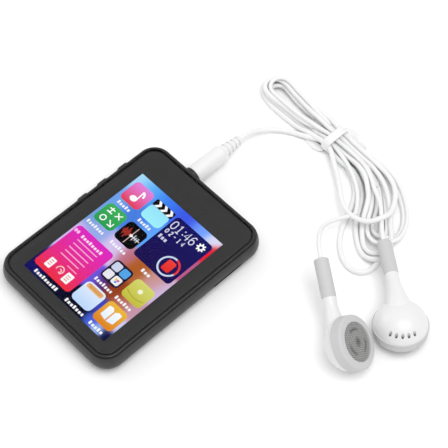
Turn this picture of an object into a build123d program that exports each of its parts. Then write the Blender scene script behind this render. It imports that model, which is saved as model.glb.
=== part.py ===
from build123d import *
import math
import os

# Pocket digital audio player with a plug-in pair of wired earphones, all in millimetres.
# +Z is up out of the screen, +Y points to the edge with the headphone socket, and the
# origin is the centre of the flat rear face, which lies on the surface.

# ---- driving dimensions of the case ----
case_width = 51.3          # over the rounded side walls
case_length = 67.2
case_corner_radius = 6.5
shell_height = 7.7         # top of the rear shell's lip
bulge_height = 4.2         # height of the widest line of the side wall
lip_inset = 0.7            # how far the lip stands in from the widest line
wall = 1.45
floor_thickness = 1.2
shoulder_height = 6.4      # ledge in the wall that carries the front frame
slip = 0.05                # side clearance of pieces that drop in
play = 0.12                # side clearance of pieces that slide

# ---- front frame, cover glass and display ----
frame_inset = 1.15         # rim's outer face in from the widest line of the wall
rim_width = 0.75
frame_top = 8.4
glass_ledge = 7.6          # pocket floor under the cover glass
glass_thickness = 1.0
glass_gap = 0.3            # all round the glass
glass_edge_radius = 0.4
film_thickness = 0.05      # printed border on the glass's rear face
adhesive_thickness = 0.25
adhesive_width = 1.2
side_border = 5.09         # glass edge to the lit area
low_border = 3.87
high_border = 9.97
panel_side_border = 2.14   # lit area to the panel's edge
panel_low_border = 1.77
panel_high_border = 2.87
panel_thickness = 0.85
bond_thickness = 0.1
backlight_thickness = 0.8
backlight_setback = 1.4    # bare ledge of the panel where the flex is bonded
window_clearance = 0.4
flex_width = 7.0
flex_thickness = 0.15
flex_center_x = -1.0
cushion_margin = 3.0

# ---- snap tabs that hold the frame in the shell ----
tab_width = 4.4
tab_thickness = 0.8
tab_height = 1.8
nib_depth = 0.3
nib_height = 0.6
nib_drop = 0.9             # from the shoulder to the top of the nib
middle_tab_y = -8.0
end_tab_x = 12.0

# ---- board and what stands on it ----
board_side_gap = 1.2
board_end_gap = 0.65
board_length = 31.0
board_thickness = 0.8
board_corner_radius = 4.0
boss_height = 0.6
boss_radius = 1.8
screw_radius = 0.6
screw_head_radius = 1.3
screw_head_height = 0.5
screw_depth = 0.7          # thread length below the boss's top
screw_inset = 4.0          # from the board's sides and its upper end
lower_screw_inset = 5.0
lower_screw_up = 7.0
can_size = (14.0, 13.0, 1.8)
can_inset = (7.0, 3.5)     # from the board's left side and lower end
can_sheet = 0.2
processor_size = (9.0, 9.0, 1.0)
memory_size = (8.0, 6.0, 1.0)
memory_gap = 1.95          # to the card socket
microphone_size = (3.0, 2.2, 1.0)
microphone_x = -1.0
antenna_size = (5.0, 1.8, 0.9)
antenna_gap = 0.6          # to the charging socket
edge_part_inset = 1.6      # from the board's upper end to the middle of the small parts there

# ---- battery ----
battery_side_gap = 4.2
battery_end_gap = 1.65
battery_board_gap = 1.0
battery_thickness = 3.8
battery_edge_radius = 1.2
tape_thickness = 0.2
lead_radius = 0.4
lead_length_on_board = 2.4
battery_lead_x = (3.0, 5.0)

# ---- headphone socket and its plug ----
jack_x = -8.55
jack_z = 4.3
jack_width = 6.2
jack_height = 4.2
jack_full_length = 7.3     # full height at the front
jack_length = 12.5
jack_bore_radius = 1.8
leaf_setbacks = (10.5, 5.5, 1.9)   # each contact's middle to the socket's front
leaf_width = 1.2
leaf_thickness = 0.3
foot_length = 1.2
foot_thickness = 0.2
collar_radius = 3.2
collar_bore_radius = 1.85
collar_proud = 0.55
pin_radius = 1.75
pin_length = 14.0
tip_radius = 1.5
tip_length = 4.2
plug_radius = 3.0
plug_length = 12.8
relief_length = 7.6
relief_root_radius = 2.3
relief_end_radius = 1.45
relief_rib_count = 4

# ---- charging socket ----
usb_x = 8.0
usb_width = 8.94
usb_height = 3.16
usb_length = 7.35
usb_sheet = 0.3
usb_face_setback = 0.35
usb_clearance = 0.15
tongue_width = 6.7
tongue_thickness = 0.7
tongue_length = 4.5

# ---- memory-card slot ----
slot_from_end = 15.65      # slot's middle to the wall at the socket edge
slot_length = 11.7
slot_height = 1.2
slot_above_board = 1.0
card_socket_size = (14.6, 14.0, 1.8)
card_channel_width = 11.3
card_channel_height = 0.9
card_channel_depth = 13.4
contact_count = 8
contact_size = (3.0, 0.6, 0.15)

# ---- side buttons ----
buttons_from_end = (29.35, 21.15, 12.45)   # each key's middle to the wall at the socket edge
button_z = 5.0
button_length = 4.0
button_height = 1.5
button_proud = 0.95
button_flange = 0.5        # how much wider the flange behind the wall is, each side
flange_thickness = 0.6
switch_gap = 0.45          # flange to switch body at rest
switch_size = (2.8, 3.5, 2.9)
plunger_width = 1.4
plunger_height = 0.9
plunger_depth = 1.2        # inside the switch body
plunger_travel_room = 0.4

# ---- earbuds ----
bud_radius = 8.65          # over the ring
bud_ring_front = 1.0
bud_ring_back = -2.4
bud_ring_roundness = 0.9
grille_radius = 6.15
grille_bulge = 0.7
grille_thickness = 0.35
driver_radius = 7.0
driver_thickness = 3.0
shell_rim_radius = 8.35
stem_radius = 2.45
stem_root_radius = 2.9
tail_forward = 27.7        # from the ring's centre to the tail, along the ring's plane
tail_behind = 8.5          # and behind that plane
sleeve_length = 12.6
sleeve_radius = 2.3
vent_radius = 0.5
vent_ring_radius = 7.1
vent_angles = (-22, -7, 8, 23, 38)
left_bud_center = (70.59, 25.36, 9.16)
left_bud_normal = (0.595, 0.4415, 0.671)
left_bud_heading = (-0.903, 0.42, 0.09)
right_bud_center = (74.7, 41.3, 2.7)
right_bud_normal = (0.138, -0.102, -0.985)
right_bud_heading = (-0.797, 0.588, 0.125)

# ---- cords ----
cord_diameter = 1.7
lead_diameter = 1.4
hank_height = 6.6
lobe_height = 5.0
tie_inner_width = 8.6
tie_inner_height = 5.4
tie_width = 2.8
tie_thickness = 0.5
tie_center = (12.2, 77.4)
tie_tail_length = 9.0
splitter_length = 9.0
splitter_radius = 1.9
splitter_center = (30.0, 74.5, 2.6)
splitter_turn = -25.0      # degrees from +X, in line with the strands round it

main_route = [
    (jack_x, 57.2, jack_z), (-8.1, 60.4, 3.5), (-7.1, 63.6, 2.3), (-5.1, 66.9, 1.4),
    (-2.0, 69.7, 1.0), (1.8, 71.6, 1.1), (5.8, 73.0, 1.7), (9.6, 74.8, 2.6)]
left_route = [(37.6, 60.2, 4.4), (35.7, 56.6, 4.9), (34.6, 52.6, 6.0), (34.8, 48.2, 8.0), (37.2, 44.2, 10.8)]
right_route = [(35.4, 71.4, 5.0), (39.4, 69.4, 5.3), (42.9, 66.6, 6.0)]
lead_exit = 4.0            # straight length of each lead at its bud

# ---- places worked out from the values above ----
inner_width = case_width - 2 * wall
inner_length = case_length - 2 * wall
frame_width = case_width - 2 * frame_inset
frame_length = case_length - 2 * frame_inset
frame_corner_radius = case_corner_radius - frame_inset
glass_width = frame_width - 2 * (rim_width + glass_gap)
glass_length = frame_length - 2 * (rim_width + glass_gap)
glass_corner_radius = frame_corner_radius - rim_width - glass_gap
screen_width = glass_width - 2 * side_border
screen_length = glass_length - low_border - high_border
screen_center_y = (low_border - high_border) / 2
panel_width = screen_width + 2 * panel_side_border
panel_length = screen_length + panel_low_border + panel_high_border
panel_center_y = screen_center_y + (panel_high_border - panel_low_border) / 2
board_width = inner_width - 2 * board_side_gap
board_high_y = inner_length / 2 - board_end_gap
board_low_y = board_high_y - board_length
board_bottom = floor_thickness + boss_height
board_top = board_bottom + board_thickness
glass_bottom = glass_ledge + adhesive_thickness + film_thickness
panel_top = glass_bottom - film_thickness - bond_thickness
panel_bottom = panel_top - panel_thickness
backlight_bottom = panel_bottom - backlight_thickness
battery_low_y = battery_end_gap - inner_length / 2
battery_length = board_low_y - battery_board_gap - battery_low_y
battery_center_y = battery_low_y + battery_length / 2
battery_width = inner_width - 2 * battery_side_gap
battery_bottom = floor_thickness + tape_thickness
battery_top = battery_bottom + battery_thickness
slot_center_y = inner_length / 2 - slot_from_end
slot_z = board_top + slot_above_board
button_y = [inner_length / 2 - distance for distance in buttons_from_end]
usb_z = board_top + usb_height / 2
usb_face_y = case_length / 2 - usb_face_setback
jack_front = inner_length / 2 - slip
jack_step = jack_front - jack_full_length
jack_back = jack_front - jack_length
collar_seat_y = frame_length / 2 + slip
collar_face_y = case_length / 2 + collar_proud
plug_end_y = collar_face_y + plug_length
relief_end_y = plug_end_y + relief_length
wall_inner_x = case_width / 2 - wall
flange_outer_x = -(wall_inner_x - slip)
flange_inner_x = flange_outer_x + flange_thickness
switch_face_x = flange_inner_x + switch_gap
card_front_x = wall_inner_x - slip
edge_part_y = board_high_y - edge_part_inset
lower_screw_x = board_width / 2 - lower_screw_inset
upper_screw_x = board_width / 2 - screw_inset
screw_places = [(-lower_screw_x, board_low_y + lower_screw_up), (lower_screw_x, board_low_y + lower_screw_up),
                (-upper_screw_x, board_high_y - screw_inset), (upper_screw_x, board_high_y - screw_inset)]
can_center = (can_inset[0] + (can_size[0] - board_width) / 2, board_low_y + can_inset[1] + can_size[1] / 2)
memory_center = (card_front_x - card_socket_size[0] - memory_gap - memory_size[0] / 2, slot_center_y)
antenna_x = usb_x + usb_width / 2 + antenna_gap + antenna_size[0] / 2


def box(x_range, y_range, z_range):
    """A block between two corners."""
    size = [high - low for low, high in (x_range, y_range, z_range)]
    middle = [(high + low) / 2 for low, high in (x_range, y_range, z_range)]
    return Pos(*middle) * Box(*size)


def plate(width, length, radius, low, high, center_y=0.0):
    """A slab with rounded corners."""
    outline = Pos(0, center_y, low) * RectangleRounded(width, length, radius)
    return extrude(outline, high - low)


def rod_y(x, z, radius, low, high):
    """A round bar along Y."""
    ring = Plane((x, low, z), x_dir=(1, 0, 0), z_dir=(0, 1, 0)) * Circle(radius)
    return extrude(ring, high - low)


def wall_profile():
    """Half section of the shell: quarter-round below the bulge, a flatter arc above it."""
    half = case_width / 2
    rise = shell_height - bulge_height
    upper_radius = (rise ** 2 + lip_inset ** 2) / (2 * lip_inset)
    half_angle = math.asin(rise / upper_radius) / 2
    upper_mid = (half - upper_radius * (1 - math.cos(half_angle)), 0,
                 bulge_height + upper_radius * math.sin(half_angle))
    lower_mid = (half - bulge_height * (1 - math.cos(math.pi / 4)), 0,
                 bulge_height * (1 - math.sin(math.pi / 4)))
    lip_x = frame_width / 2 + slip
    floor_x = half - bulge_height - 0.4
    bulge_point = (half, 0, bulge_height)
    lip_point = (half - lip_inset, 0, shell_height)
    edges = [
        ThreePointArc((half - bulge_height, 0, 0), lower_mid, bulge_point),
        ThreePointArc(bulge_point, upper_mid, lip_point),
        Polyline(lip_point, (lip_x, 0, shell_height), (lip_x, 0, shoulder_height),
                 (wall_inner_x, 0, shoulder_height), (wall_inner_x, 0, floor_thickness),
                 (floor_x, 0, floor_thickness), (floor_x, 0, 0), (half - bulge_height, 0, 0))]
    return make_face(Wire(Curve() + edges))


def shell_blank():
    """The wall section carried round the rounded outline, closed by a floor plate."""
    half_x = case_width / 2 - case_corner_radius
    half_y = case_length / 2 - case_corner_radius
    profile = Pos(-half_x, 0, 0) * wall_profile()
    quarter = revolve(profile, Axis.Z, 90)
    side = extrude(Pos(half_x, -half_y, 0) * profile, 2 * half_y, dir=(0, 1, 0))
    end = extrude(Pos(half_x, half_y, 0) * Rot(0, 0, 90) * profile, 2 * half_x, dir=(-1, 0, 0))
    blank = side + end + Rot(0, 0, 180) * side + Rot(0, 0, 180) * end
    for sign_x, sign_y, turn in ((1, 1, 0), (-1, 1, 90), (-1, -1, 180), (1, -1, 270)):
        blank += Pos(sign_x * half_x, sign_y * half_y, 0) * Rot(0, 0, turn) * quarter
    rim = bulge_height + 0.4
    return blank + plate(case_width - 2 * rim, case_length - 2 * rim, case_corner_radius - rim,
                         0, floor_thickness)


def tab_places():
    """Where each snap tab stands: turn about Z, distance to the wall's inner face, offset along it."""
    places = []
    straight_end = case_length / 2 - case_corner_radius
    for y in (tab_width / 2 + 0.9 - straight_end, middle_tab_y, straight_end - tab_width / 2 - 0.1):
        places.append((0, inner_width / 2, y))
        places.append((180, inner_width / 2, -y))
    for x in (-end_tab_x, end_tab_x):
        places.append((270, inner_length / 2, x))
    return places


def nib_profile(reach, height):
    """A wedge in the XZ plane, flat above and sloping below, that the tab snaps in with."""
    top = shoulder_height - nib_drop
    corners = [(-slip, 0, top), (reach, 0, top), (reach, 0, top - height / 2), (-slip, 0, top - height)]
    return make_face(Polyline(*corners, close=True))


def snap_grooves():
    """The undercuts in the wall that the nibs click into."""
    cuts = []
    for turn, reach, along in tab_places():
        groove = box((-0.3, nib_depth + slip), (-tab_width / 2 - play, tab_width / 2 + play),
                     (shoulder_height - nib_drop - nib_height - play, shoulder_height - nib_drop + slip))
        cuts.append(Rot(0, 0, turn) * Pos(reach, along, 0) * groove)
    return cuts


def rear_shell():
    shell = shell_blank()
    for x, y in screw_places:
        shell += Pos(x, y, floor_thickness) * extrude(Circle(boss_radius), boss_height)
        shell -= Pos(x, y, board_bottom - screw_depth) * extrude(Circle(screw_radius), screw_depth)
    for groove in snap_grooves():
        shell -= groove
    for y in button_y:
        window = extrude(Plane.YZ * Pos(y, button_z) * SlotOverall(button_length + 2 * play,
                         button_height + 2 * play), case_width)
        shell -= Pos(-case_width, 0, 0) * window
    slot = extrude(Plane.YZ * Pos(slot_center_y, slot_z) * Rectangle(slot_length, slot_height), case_width)
    shell -= slot
    usb_face = Plane((usb_x, usb_face_y - usb_length / 2, usb_z), x_dir=(1, 0, 0), z_dir=(0, 1, 0))
    shell -= extrude(usb_face * SlotOverall(usb_width + 2 * usb_clearance, usb_height + 2 * usb_clearance),
                     usb_length)
    shell -= rod_y(jack_x, jack_z, collar_bore_radius, jack_front - 1, case_length)
    return shell - rod_y(jack_x, jack_z, collar_radius, collar_seat_y, case_length)


def front_frame():
    """The rim round the glass, with a ledge under it and the snap tabs below."""
    frame = plate(frame_width, frame_length, frame_corner_radius, shoulder_height, frame_top)
    frame = fillet(frame.edges().group_by(Axis.Z)[-1], 0.25)
    frame -= plate(glass_width + 2 * glass_gap, glass_length + 2 * glass_gap,
                   glass_corner_radius + glass_gap, glass_ledge, frame_top)
    frame -= plate(panel_width + 2 * window_clearance, panel_length + 2 * window_clearance, 0.8,
                   shoulder_height, glass_ledge, panel_center_y)
    panel_top_y = panel_center_y + panel_length / 2
    frame -= box((flex_center_x - flex_width / 2 - 0.5, flex_center_x + flex_width / 2 + 0.5),
                 (panel_top_y, panel_top_y + 1.5), (shoulder_height, glass_ledge))
    frame -= box((jack_x - jack_width / 2 - 0.3, jack_x + jack_width / 2 + 0.3),
                 (jack_step - 0.3, inner_length / 2), (shoulder_height, jack_z + jack_height / 2 + 0.15))
    for turn, reach, along in tab_places():
        tab = box((-tab_thickness - slip, -slip), (-tab_width / 2, tab_width / 2),
                  (shoulder_height - tab_height, shoulder_height))
        nib = extrude(Pos(0, tab_width / 2, 0) * nib_profile(nib_depth - slip, nib_height), tab_width,
                      dir=(0, -1, 0))
        frame += Rot(0, 0, turn) * Pos(reach, along, 0) * (tab + nib)
    return frame


def touch_glass():
    glass = plate(glass_width, glass_length, glass_corner_radius, glass_bottom, glass_top())
    return fillet(glass.edges().group_by(Axis.Z)[-1], glass_edge_radius)


def glass_border():
    """The black print on the rear of the glass, open over the lit area."""
    film = plate(glass_width - 0.4, glass_length - 0.4, glass_corner_radius - 0.2,
                 glass_bottom - film_thickness, glass_bottom)
    return film - box((-screen_width / 2, screen_width / 2),
                      (screen_center_y - screen_length / 2, screen_center_y + screen_length / 2),
                      (glass_ledge, glass_top()))


def glass_top():
    return glass_bottom + glass_thickness


def glass_adhesive():
    low, high = glass_ledge, glass_bottom - film_thickness
    ring = plate(glass_width - 0.6, glass_length - 0.6, glass_corner_radius - 0.3, low, high)
    return ring - plate(glass_width - 0.6 - 2 * adhesive_width, glass_length - 0.6 - 2 * adhesive_width,
                        glass_corner_radius - 0.3 - adhesive_width, low, high)


def panel_y_range(setback=0.0):
    return (panel_center_y - panel_length / 2, panel_center_y + panel_length / 2 - setback)


def lcd_panel():
    return box((-panel_width / 2, panel_width / 2), panel_y_range(), (panel_bottom, panel_top))


def display_bond():
    return box((-panel_width / 2 + 0.3, panel_width / 2 - 0.3), panel_y_range(0.3),
               (panel_top, panel_top + bond_thickness))


def lcd_backlight():
    return box((-panel_width / 2, panel_width / 2), panel_y_range(backlight_setback),
               (backlight_bottom, panel_bottom))


def display_flex():
    """The ribbon from the panel's bare ledge, round its end and down to the board."""
    sides = (flex_center_x - flex_width / 2, flex_center_x + flex_width / 2)
    end_y = panel_y_range()[1]
    bend_y = end_y + 0.7
    upper = box(sides, (end_y - backlight_setback + 0.1, bend_y + flex_thickness),
                (panel_bottom - flex_thickness, panel_bottom))
    drop = box(sides, (bend_y, bend_y + flex_thickness), (board_top, panel_bottom))
    lower = box(sides, (end_y - 3.5, bend_y + flex_thickness), (board_top, board_top + flex_thickness))
    return upper + drop + lower


def display_cushion():
    return box((-battery_width / 2 + cushion_margin, battery_width / 2 - cushion_margin),
               (battery_center_y - battery_length / 2 + cushion_margin,
                battery_center_y + battery_length / 2 - cushion_margin),
               (battery_top, backlight_bottom))


def jack_notch():
    return box((jack_x - jack_width / 2 - play, jack_x + jack_width / 2 + play),
               (jack_back - play, board_high_y), (board_bottom, board_top))


def main_board():
    board = box((-board_width / 2, board_width / 2), (board_low_y, board_high_y), (board_bottom, board_top))
    board = fillet(board.edges().filter_by(Axis.Z).sort_by(Axis.Y)[-2:], board_corner_radius)
    board -= jack_notch()
    for x, y in screw_places:
        board -= Pos(x, y, board_bottom) * extrude(Circle(screw_radius + play), board_thickness)
    return board


def board_screws():
    """Four identical screws, driven into the bosses under the board."""
    screws = []
    for x, y in screw_places:
        shank = Pos(x, y, board_bottom - screw_depth) * extrude(Circle(screw_radius),
                                                                screw_depth + board_thickness)
        head = Pos(x, y, board_top) * extrude(Circle(screw_head_radius), screw_head_height)
        cross = box((x - 0.75, x + 0.75), (y - 0.15, y + 0.15), (board_top + 0.25, board_top + 1))
        cross += box((x - 0.15, x + 0.15), (y - 0.75, y + 0.75), (board_top + 0.25, board_top + 1))
        screws.append(shank + head - cross)
    return Compound(screws)


def on_board(size, center):
    """A block that stands on the board."""
    length, width, height = size
    return Pos(center[0], center[1], board_top + height / 2) * Box(length, width, height)


def shield_can():
    length, width, height = can_size
    inside = (length - 2 * can_sheet, width - 2 * can_sheet, height - can_sheet)
    return on_board(can_size, can_center) - on_board(inside, can_center)


def battery():
    body = Pos(0, battery_center_y, (battery_bottom + battery_top) / 2) * Box(battery_width, battery_length,
                                                                              battery_thickness)
    return fillet(body.edges().filter_by(Axis.Y), battery_edge_radius)


def battery_tape():
    return Pos(0, battery_center_y, floor_thickness + tape_thickness / 2) * Box(
        battery_width - 6, battery_length - 6, tape_thickness)


def battery_lead(x):
    battery_end = battery_center_y + battery_length / 2
    return rod_y(x, board_top + lead_radius, lead_radius, battery_end, board_low_y + lead_length_on_board)


def audio_jack():
    """A socket sunk in the board's notch: full height at the front, an open cradle behind."""
    low = jack_z - jack_height / 2
    sides = (jack_x - jack_width / 2, jack_x + jack_width / 2)
    body = box(sides, (jack_step, jack_front), (low, low + jack_height))
    body += box(sides, (jack_back, jack_step), (low, jack_z))
    return body - rod_y(jack_x, jack_z, jack_bore_radius, jack_back - 1, jack_front + 1)


def jack_contacts():
    """Three leaf contacts along the flank of the socket, with feet on the board."""
    leaves = []
    flank = jack_x - jack_width / 2
    for setback in leaf_setbacks:
        along = (jack_front - setback - leaf_width / 2, jack_front - setback + leaf_width / 2)
        leg = box((flank - leaf_thickness, flank), along, (board_top, jack_z - leaf_thickness))
        foot = box((flank - leaf_thickness - foot_length, flank - leaf_thickness), along,
                   (board_top, board_top + foot_thickness))
        leaves.append(leg + foot)
    return Compound(leaves)


def jack_collar():
    collar = rod_y(jack_x, jack_z, collar_radius, collar_seat_y, collar_face_y)
    collar = fillet(collar.edges().group_by(Axis.Y)[-1], 0.3)
    return collar - rod_y(jack_x, jack_z, collar_bore_radius, jack_front, collar_face_y + 1)


def usb_plane(y):
    return Plane((usb_x, y, usb_z), x_dir=(1, 0, 0), z_dir=(0, 1, 0))


def usb_shell():
    back = usb_face_y - usb_length
    tube = extrude(usb_plane(back) * SlotOverall(usb_width, usb_height), usb_length)
    return tube - extrude(usb_plane(back - 1) * SlotOverall(usb_width - 2 * usb_sheet,
                                                            usb_height - 2 * usb_sheet), usb_length + 2)


def usb_tongue():
    """The plastic block that closes the back of the shell, and the contact tongue on it."""
    back = usb_face_y - usb_length
    block = extrude(usb_plane(back) * SlotOverall(usb_width - 2 * usb_sheet, usb_height - 2 * usb_sheet), 1.4)
    tongue = box((usb_x - tongue_width / 2, usb_x + tongue_width / 2), (back + 1.4, back + 1.4 + tongue_length),
                 (usb_z - tongue_thickness / 2, usb_z + tongue_thickness / 2))
    return block + tongue


def card_socket():
    """A low box on the board, open towards the slot in the wall."""
    length, width, height = card_socket_size
    front = card_front_x
    body = box((front - length, front), (slot_center_y - width / 2, slot_center_y + width / 2),
               (board_top, board_top + height))
    channel = box((front - card_channel_depth, front + 1),
                  (slot_center_y - card_channel_width / 2, slot_center_y + card_channel_width / 2),
                  (slot_z - card_channel_height / 2, slot_z + card_channel_height / 2))
    return body - channel


def card_contacts():
    """A row of spring fingers on the channel floor."""
    length, width, height = contact_size
    start = card_front_x - card_channel_depth
    floor = slot_z - card_channel_height / 2
    fingers = []
    for i in range(contact_count):
        y = slot_center_y + (i - (contact_count - 1) / 2) * 1.1
        fingers.append(box((start, start + length), (y - width / 2, y + width / 2), (floor, floor + height)))
    return Compound(fingers)


def button_cap(y):
    """A rounded bar that stands out of the side wall, with a flange behind the wall."""
    outer = -case_width / 2 - button_proud
    face = Plane((outer, y, button_z), x_dir=(0, 1, 0), z_dir=(1, 0, 0))
    bar = extrude(face * SlotOverall(button_length, button_height), flange_outer_x - outer)
    bar = fillet(bar.edges().group_by(Axis.X)[0], 0.3)
    flange = box((flange_outer_x, flange_inner_x),
                 (y - button_length / 2 - button_flange, y + button_length / 2 + button_flange),
                 (button_z - button_height / 2 - button_flange, button_z + button_height / 2 + button_flange))
    return bar + flange


def plunger_z():
    return board_top + switch_size[2] * 0.62


def switch_plunger(y):
    z = plunger_z()
    return box((flange_inner_x, switch_face_x + plunger_depth), (y - plunger_width / 2, y + plunger_width / 2),
               (z - plunger_height / 2, z + plunger_height / 2))


def switch_body(y):
    depth, width, height = switch_size
    body = box((switch_face_x, switch_face_x + depth), (y - width / 2, y + width / 2),
               (board_top, board_top + height))
    z = plunger_z()
    well = box((switch_face_x - 1, switch_face_x + plunger_depth + plunger_travel_room),
               (y - plunger_width / 2 - play, y + plunger_width / 2 + play),
               (z - plunger_height / 2 - play, z + plunger_height / 2 + play))
    return body - well


# ---- earphone plug ----

def plug_section(y_points):
    """A round piece turned about the socket's axis, from (distance along Y, radius) pairs."""
    outline = [(0, y_points[0][0])] + [(r, y) for y, r in y_points] + [(0, y_points[-1][0])]
    flat = Polyline(*[(jack_x + r, y, jack_z) for r, y in outline], close=True)
    return revolve(make_face(flat), Axis((jack_x, 0, jack_z), (0, 1, 0)), 360)


def insulator_places():
    tip_end = collar_face_y - pin_length
    return [tip_end + tip_length, tip_end + tip_length + 3.4]


def plug_pin():
    """The contact pin: pointed tip, waist, barrel with two grooves for the insulating rings."""
    tip_end = collar_face_y - pin_length
    waist = tip_end + tip_length - 1.0
    pin = plug_section([(tip_end, 0.5), (tip_end + 1.5, tip_radius), (waist - 0.6, 1.1), (waist, tip_radius),
                        (tip_end + tip_length, tip_radius), (tip_end + tip_length, pin_radius),
                        (collar_face_y, pin_radius), (collar_face_y, pin_radius * 0.9),
                        (collar_face_y + 4, pin_radius * 0.9)])
    for ring in plug_rings():
        pin -= ring
    return pin


def plug_rings():
    rings = []
    for y in insulator_places():
        outer = rod_y(jack_x, jack_z, pin_radius, y + 0.3, y + 0.9)
        rings.append(outer - rod_y(jack_x, jack_z, pin_radius - 0.35, y, y + 1.2))
    return rings


def plug_insulators():
    return Compound(plug_rings())


def plug_body():
    body = rod_y(jack_x, jack_z, plug_radius, collar_face_y, plug_end_y)
    body = fillet(body.edges().group_by(Axis.Y)[-1], 0.9)
    body = fillet(body.edges().group_by(Axis.Y)[0], 0.35)
    return body - rod_y(jack_x, jack_z, pin_radius * 0.9, collar_face_y - 1, collar_face_y + 4)


def plug_strain_relief():
    """A tapering sleeve with ribs round it."""
    slope = (relief_end_radius - relief_root_radius) / relief_length
    points = [(plug_end_y, relief_root_radius)]
    pitch = relief_length / (relief_rib_count + 0.5)
    for i in range(relief_rib_count):
        start = plug_end_y + (i + 0.5) * pitch
        radius = relief_root_radius + slope * (i + 0.5) * pitch
        points += [(start, radius), (start, radius - 0.35), (start + pitch * 0.4, radius - 0.35),
                   (start + pitch * 0.4, radius)]
    points.append((relief_end_y, relief_end_radius))
    return plug_section(points)


# ---- cords ----

def corner_radii(points):
    """The largest arc each corner takes: 0.45 of its shorter run over the tangent of half the turn."""
    radii = []
    for before, corner, after in zip(points, points[1:], points[2:]):
        incoming = Vector(*corner) - Vector(*before)
        outgoing = Vector(*after) - Vector(*corner)
        turn = math.radians(incoming.get_angle(outgoing))
        radii.append(0.45 * min(incoming.length, outgoing.length) / math.tan(turn / 2))
    return radii


def cord_tube(name, points, diameter):
    radii = corner_radii(points)
    path = FilletPolyline(*points, radius=radii)
    start = Plane(points[0], z_dir=Vector(*points[1]) - Vector(*points[0]))
    tube = sweep(start * Circle(diameter / 2), path=path)
    expected = math.pi * diameter ** 2 / 4 * path.length
    print(name, "length", round(path.length, 1), "least radius", round(min(radii), 1),
          "volume over expected", round(tube.volume / expected, 4))
    return tube


def lead_end(center, normal, heading):
    """The last two points of a lead, in line with the stem that it enters."""
    tail, direction, _, _ = stem_curve()
    plane = bud_plane(center, normal, heading)
    return [tuple(plane.from_local_coords(point)) for point in (tail - direction * lead_exit, tail)]


def main_cord():
    start = (jack_x, relief_end_y, jack_z)
    return cord_tube("main_cord", [start] + main_route, cord_diameter)


def left_lead():
    end = lead_end(left_bud_center, left_bud_normal, left_bud_heading)
    return cord_tube("left_lead", left_route + end, lead_diameter)


def right_lead():
    end = lead_end(right_bud_center, right_bud_normal, right_bud_heading)
    return cord_tube("right_lead", right_route + end, lead_diameter)


def cord_hank():
    """The bundled cord's outer shape: a long lobe, a neck in the tie and a wide fan of loops."""
    lobe = Spline((9.0, 80.2), (-3.0, 82.2), (-16.0, 84.2), (-22.4, 80.2), (-18.6, 74.4), (-6.0, 73.4),
                  (8.0, 74.8))
    lobe_face = make_face(Wire([*lobe.edges(), Line((8.0, 74.8), (9.0, 80.2))]))
    fan = Spline((15.0, 80.4), (25.0, 82.6), (34.0, 84.2), (45.5, 77.6), (49.2, 66.0), (54.2, 52.0),
                 (49.0, 45.8), (40.0, 51.0), (33.6, 60.4), (24.0, 66.4), (15.0, 74.0))
    fan_face = make_face(Wire([*fan.edges(), Line((15.0, 74.0), (15.0, 80.4))]))
    neck = box((5.0, 20.0), (tie_center[1] - tie_inner_width / 2 + 0.6, tie_center[1] + tie_inner_width / 2 - 0.6),
               (0, tie_inner_height))
    hank = extrude(lobe_face, lobe_height) + extrude(fan_face, hank_height) + neck
    tie_hole = box((tie_center[0] - tie_width / 2, tie_center[0] + tie_width / 2), (60, 90),
                   (0, tie_inner_height + 1))
    inside = box((tie_center[0] - tie_width / 2, tie_center[0] + tie_width / 2),
                 (tie_center[1] - tie_inner_width / 2, tie_center[1] + tie_inner_width / 2),
                 (tie_thickness, tie_inner_height))
    tail, direction, _, _ = stem_curve()
    around_sleeve = extrude(Plane(tail - direction * 0.5, x_dir=(1, 0, 0), z_dir=direction)
                            * Circle(sleeve_radius + 0.3), sleeve_length + 0.5)
    right_plane = bud_plane(right_bud_center, right_bud_normal, right_bud_heading)
    return hank - tie_hole + inside - cord_splitter() - right_plane.location * around_sleeve


def twist_tie():
    """A flat tie wrapped once round the bundle, with two twisted tails."""
    x_range = (tie_center[0] - tie_width / 2, tie_center[0] + tie_width / 2)
    half = tie_inner_width / 2
    outer = box(x_range, (tie_center[1] - half - tie_thickness, tie_center[1] + half + tie_thickness),
                (0, tie_inner_height + tie_thickness))
    inner = box(x_range, (tie_center[1] - half, tie_center[1] + half), (tie_thickness, tie_inner_height))
    tails = box((tie_center[0] - tie_tail_length, tie_center[0]),
                (tie_center[1] - half - tie_thickness - 0.9, tie_center[1] - half - tie_thickness + 0.4), (0, 0.6))
    tails += box((tie_center[0], tie_center[0] + tie_tail_length),
                 (tie_center[1] + half + tie_thickness - 0.4, tie_center[1] + half + tie_thickness + 0.9), (0, 0.6))
    return outer - inner + tails


def cord_splitter():
    """The moulding where the cord divides, lying inside the fan of loops."""
    body = Pos(*splitter_center) * Rot(0, 0, splitter_turn) * Rot(0, 90, 0) * Cylinder(splitter_radius,
                                                                                       splitter_length)
    return fillet(body.edges().filter_by(GeomType.CIRCLE), 0.6)


# ---- earbuds ----

def bud_plane(center, normal, heading):
    """A bud's own frame: Z out of the grille, Y along the ring's plane towards the cord's end."""
    z_axis = Vector(*normal).normalized()
    along = Vector(*heading)
    y_axis = (along - z_axis * along.dot(z_axis)).normalized()
    return Plane(origin=center, x_dir=y_axis.cross(z_axis), z_dir=z_axis)


def turned(points):
    """A piece turned about the bud's Z axis, from (radius, height) pairs."""
    flat = Polyline(*[(r, 0, z) for r, z in points], close=True)
    return revolve(make_face(flat), Axis.Z, 360)


def bud_ring():
    """The soft ring round the grille, rounded at its front edge."""
    ring = turned([(grille_radius, bud_ring_front), (bud_radius - 0.3, bud_ring_front),
                   (bud_radius, bud_ring_back), (shell_rim_radius - 0.8, bud_ring_back),
                   (shell_rim_radius - 0.8, -0.6), (grille_radius, -0.6)])
    edge = ring.edges().filter_by(GeomType.CIRCLE).filter_by(
        lambda e: abs(e.radius - bud_radius + 0.3) < 1e-3 and e.center().Z > 0)
    return fillet(edge, bud_ring_roundness)


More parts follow.
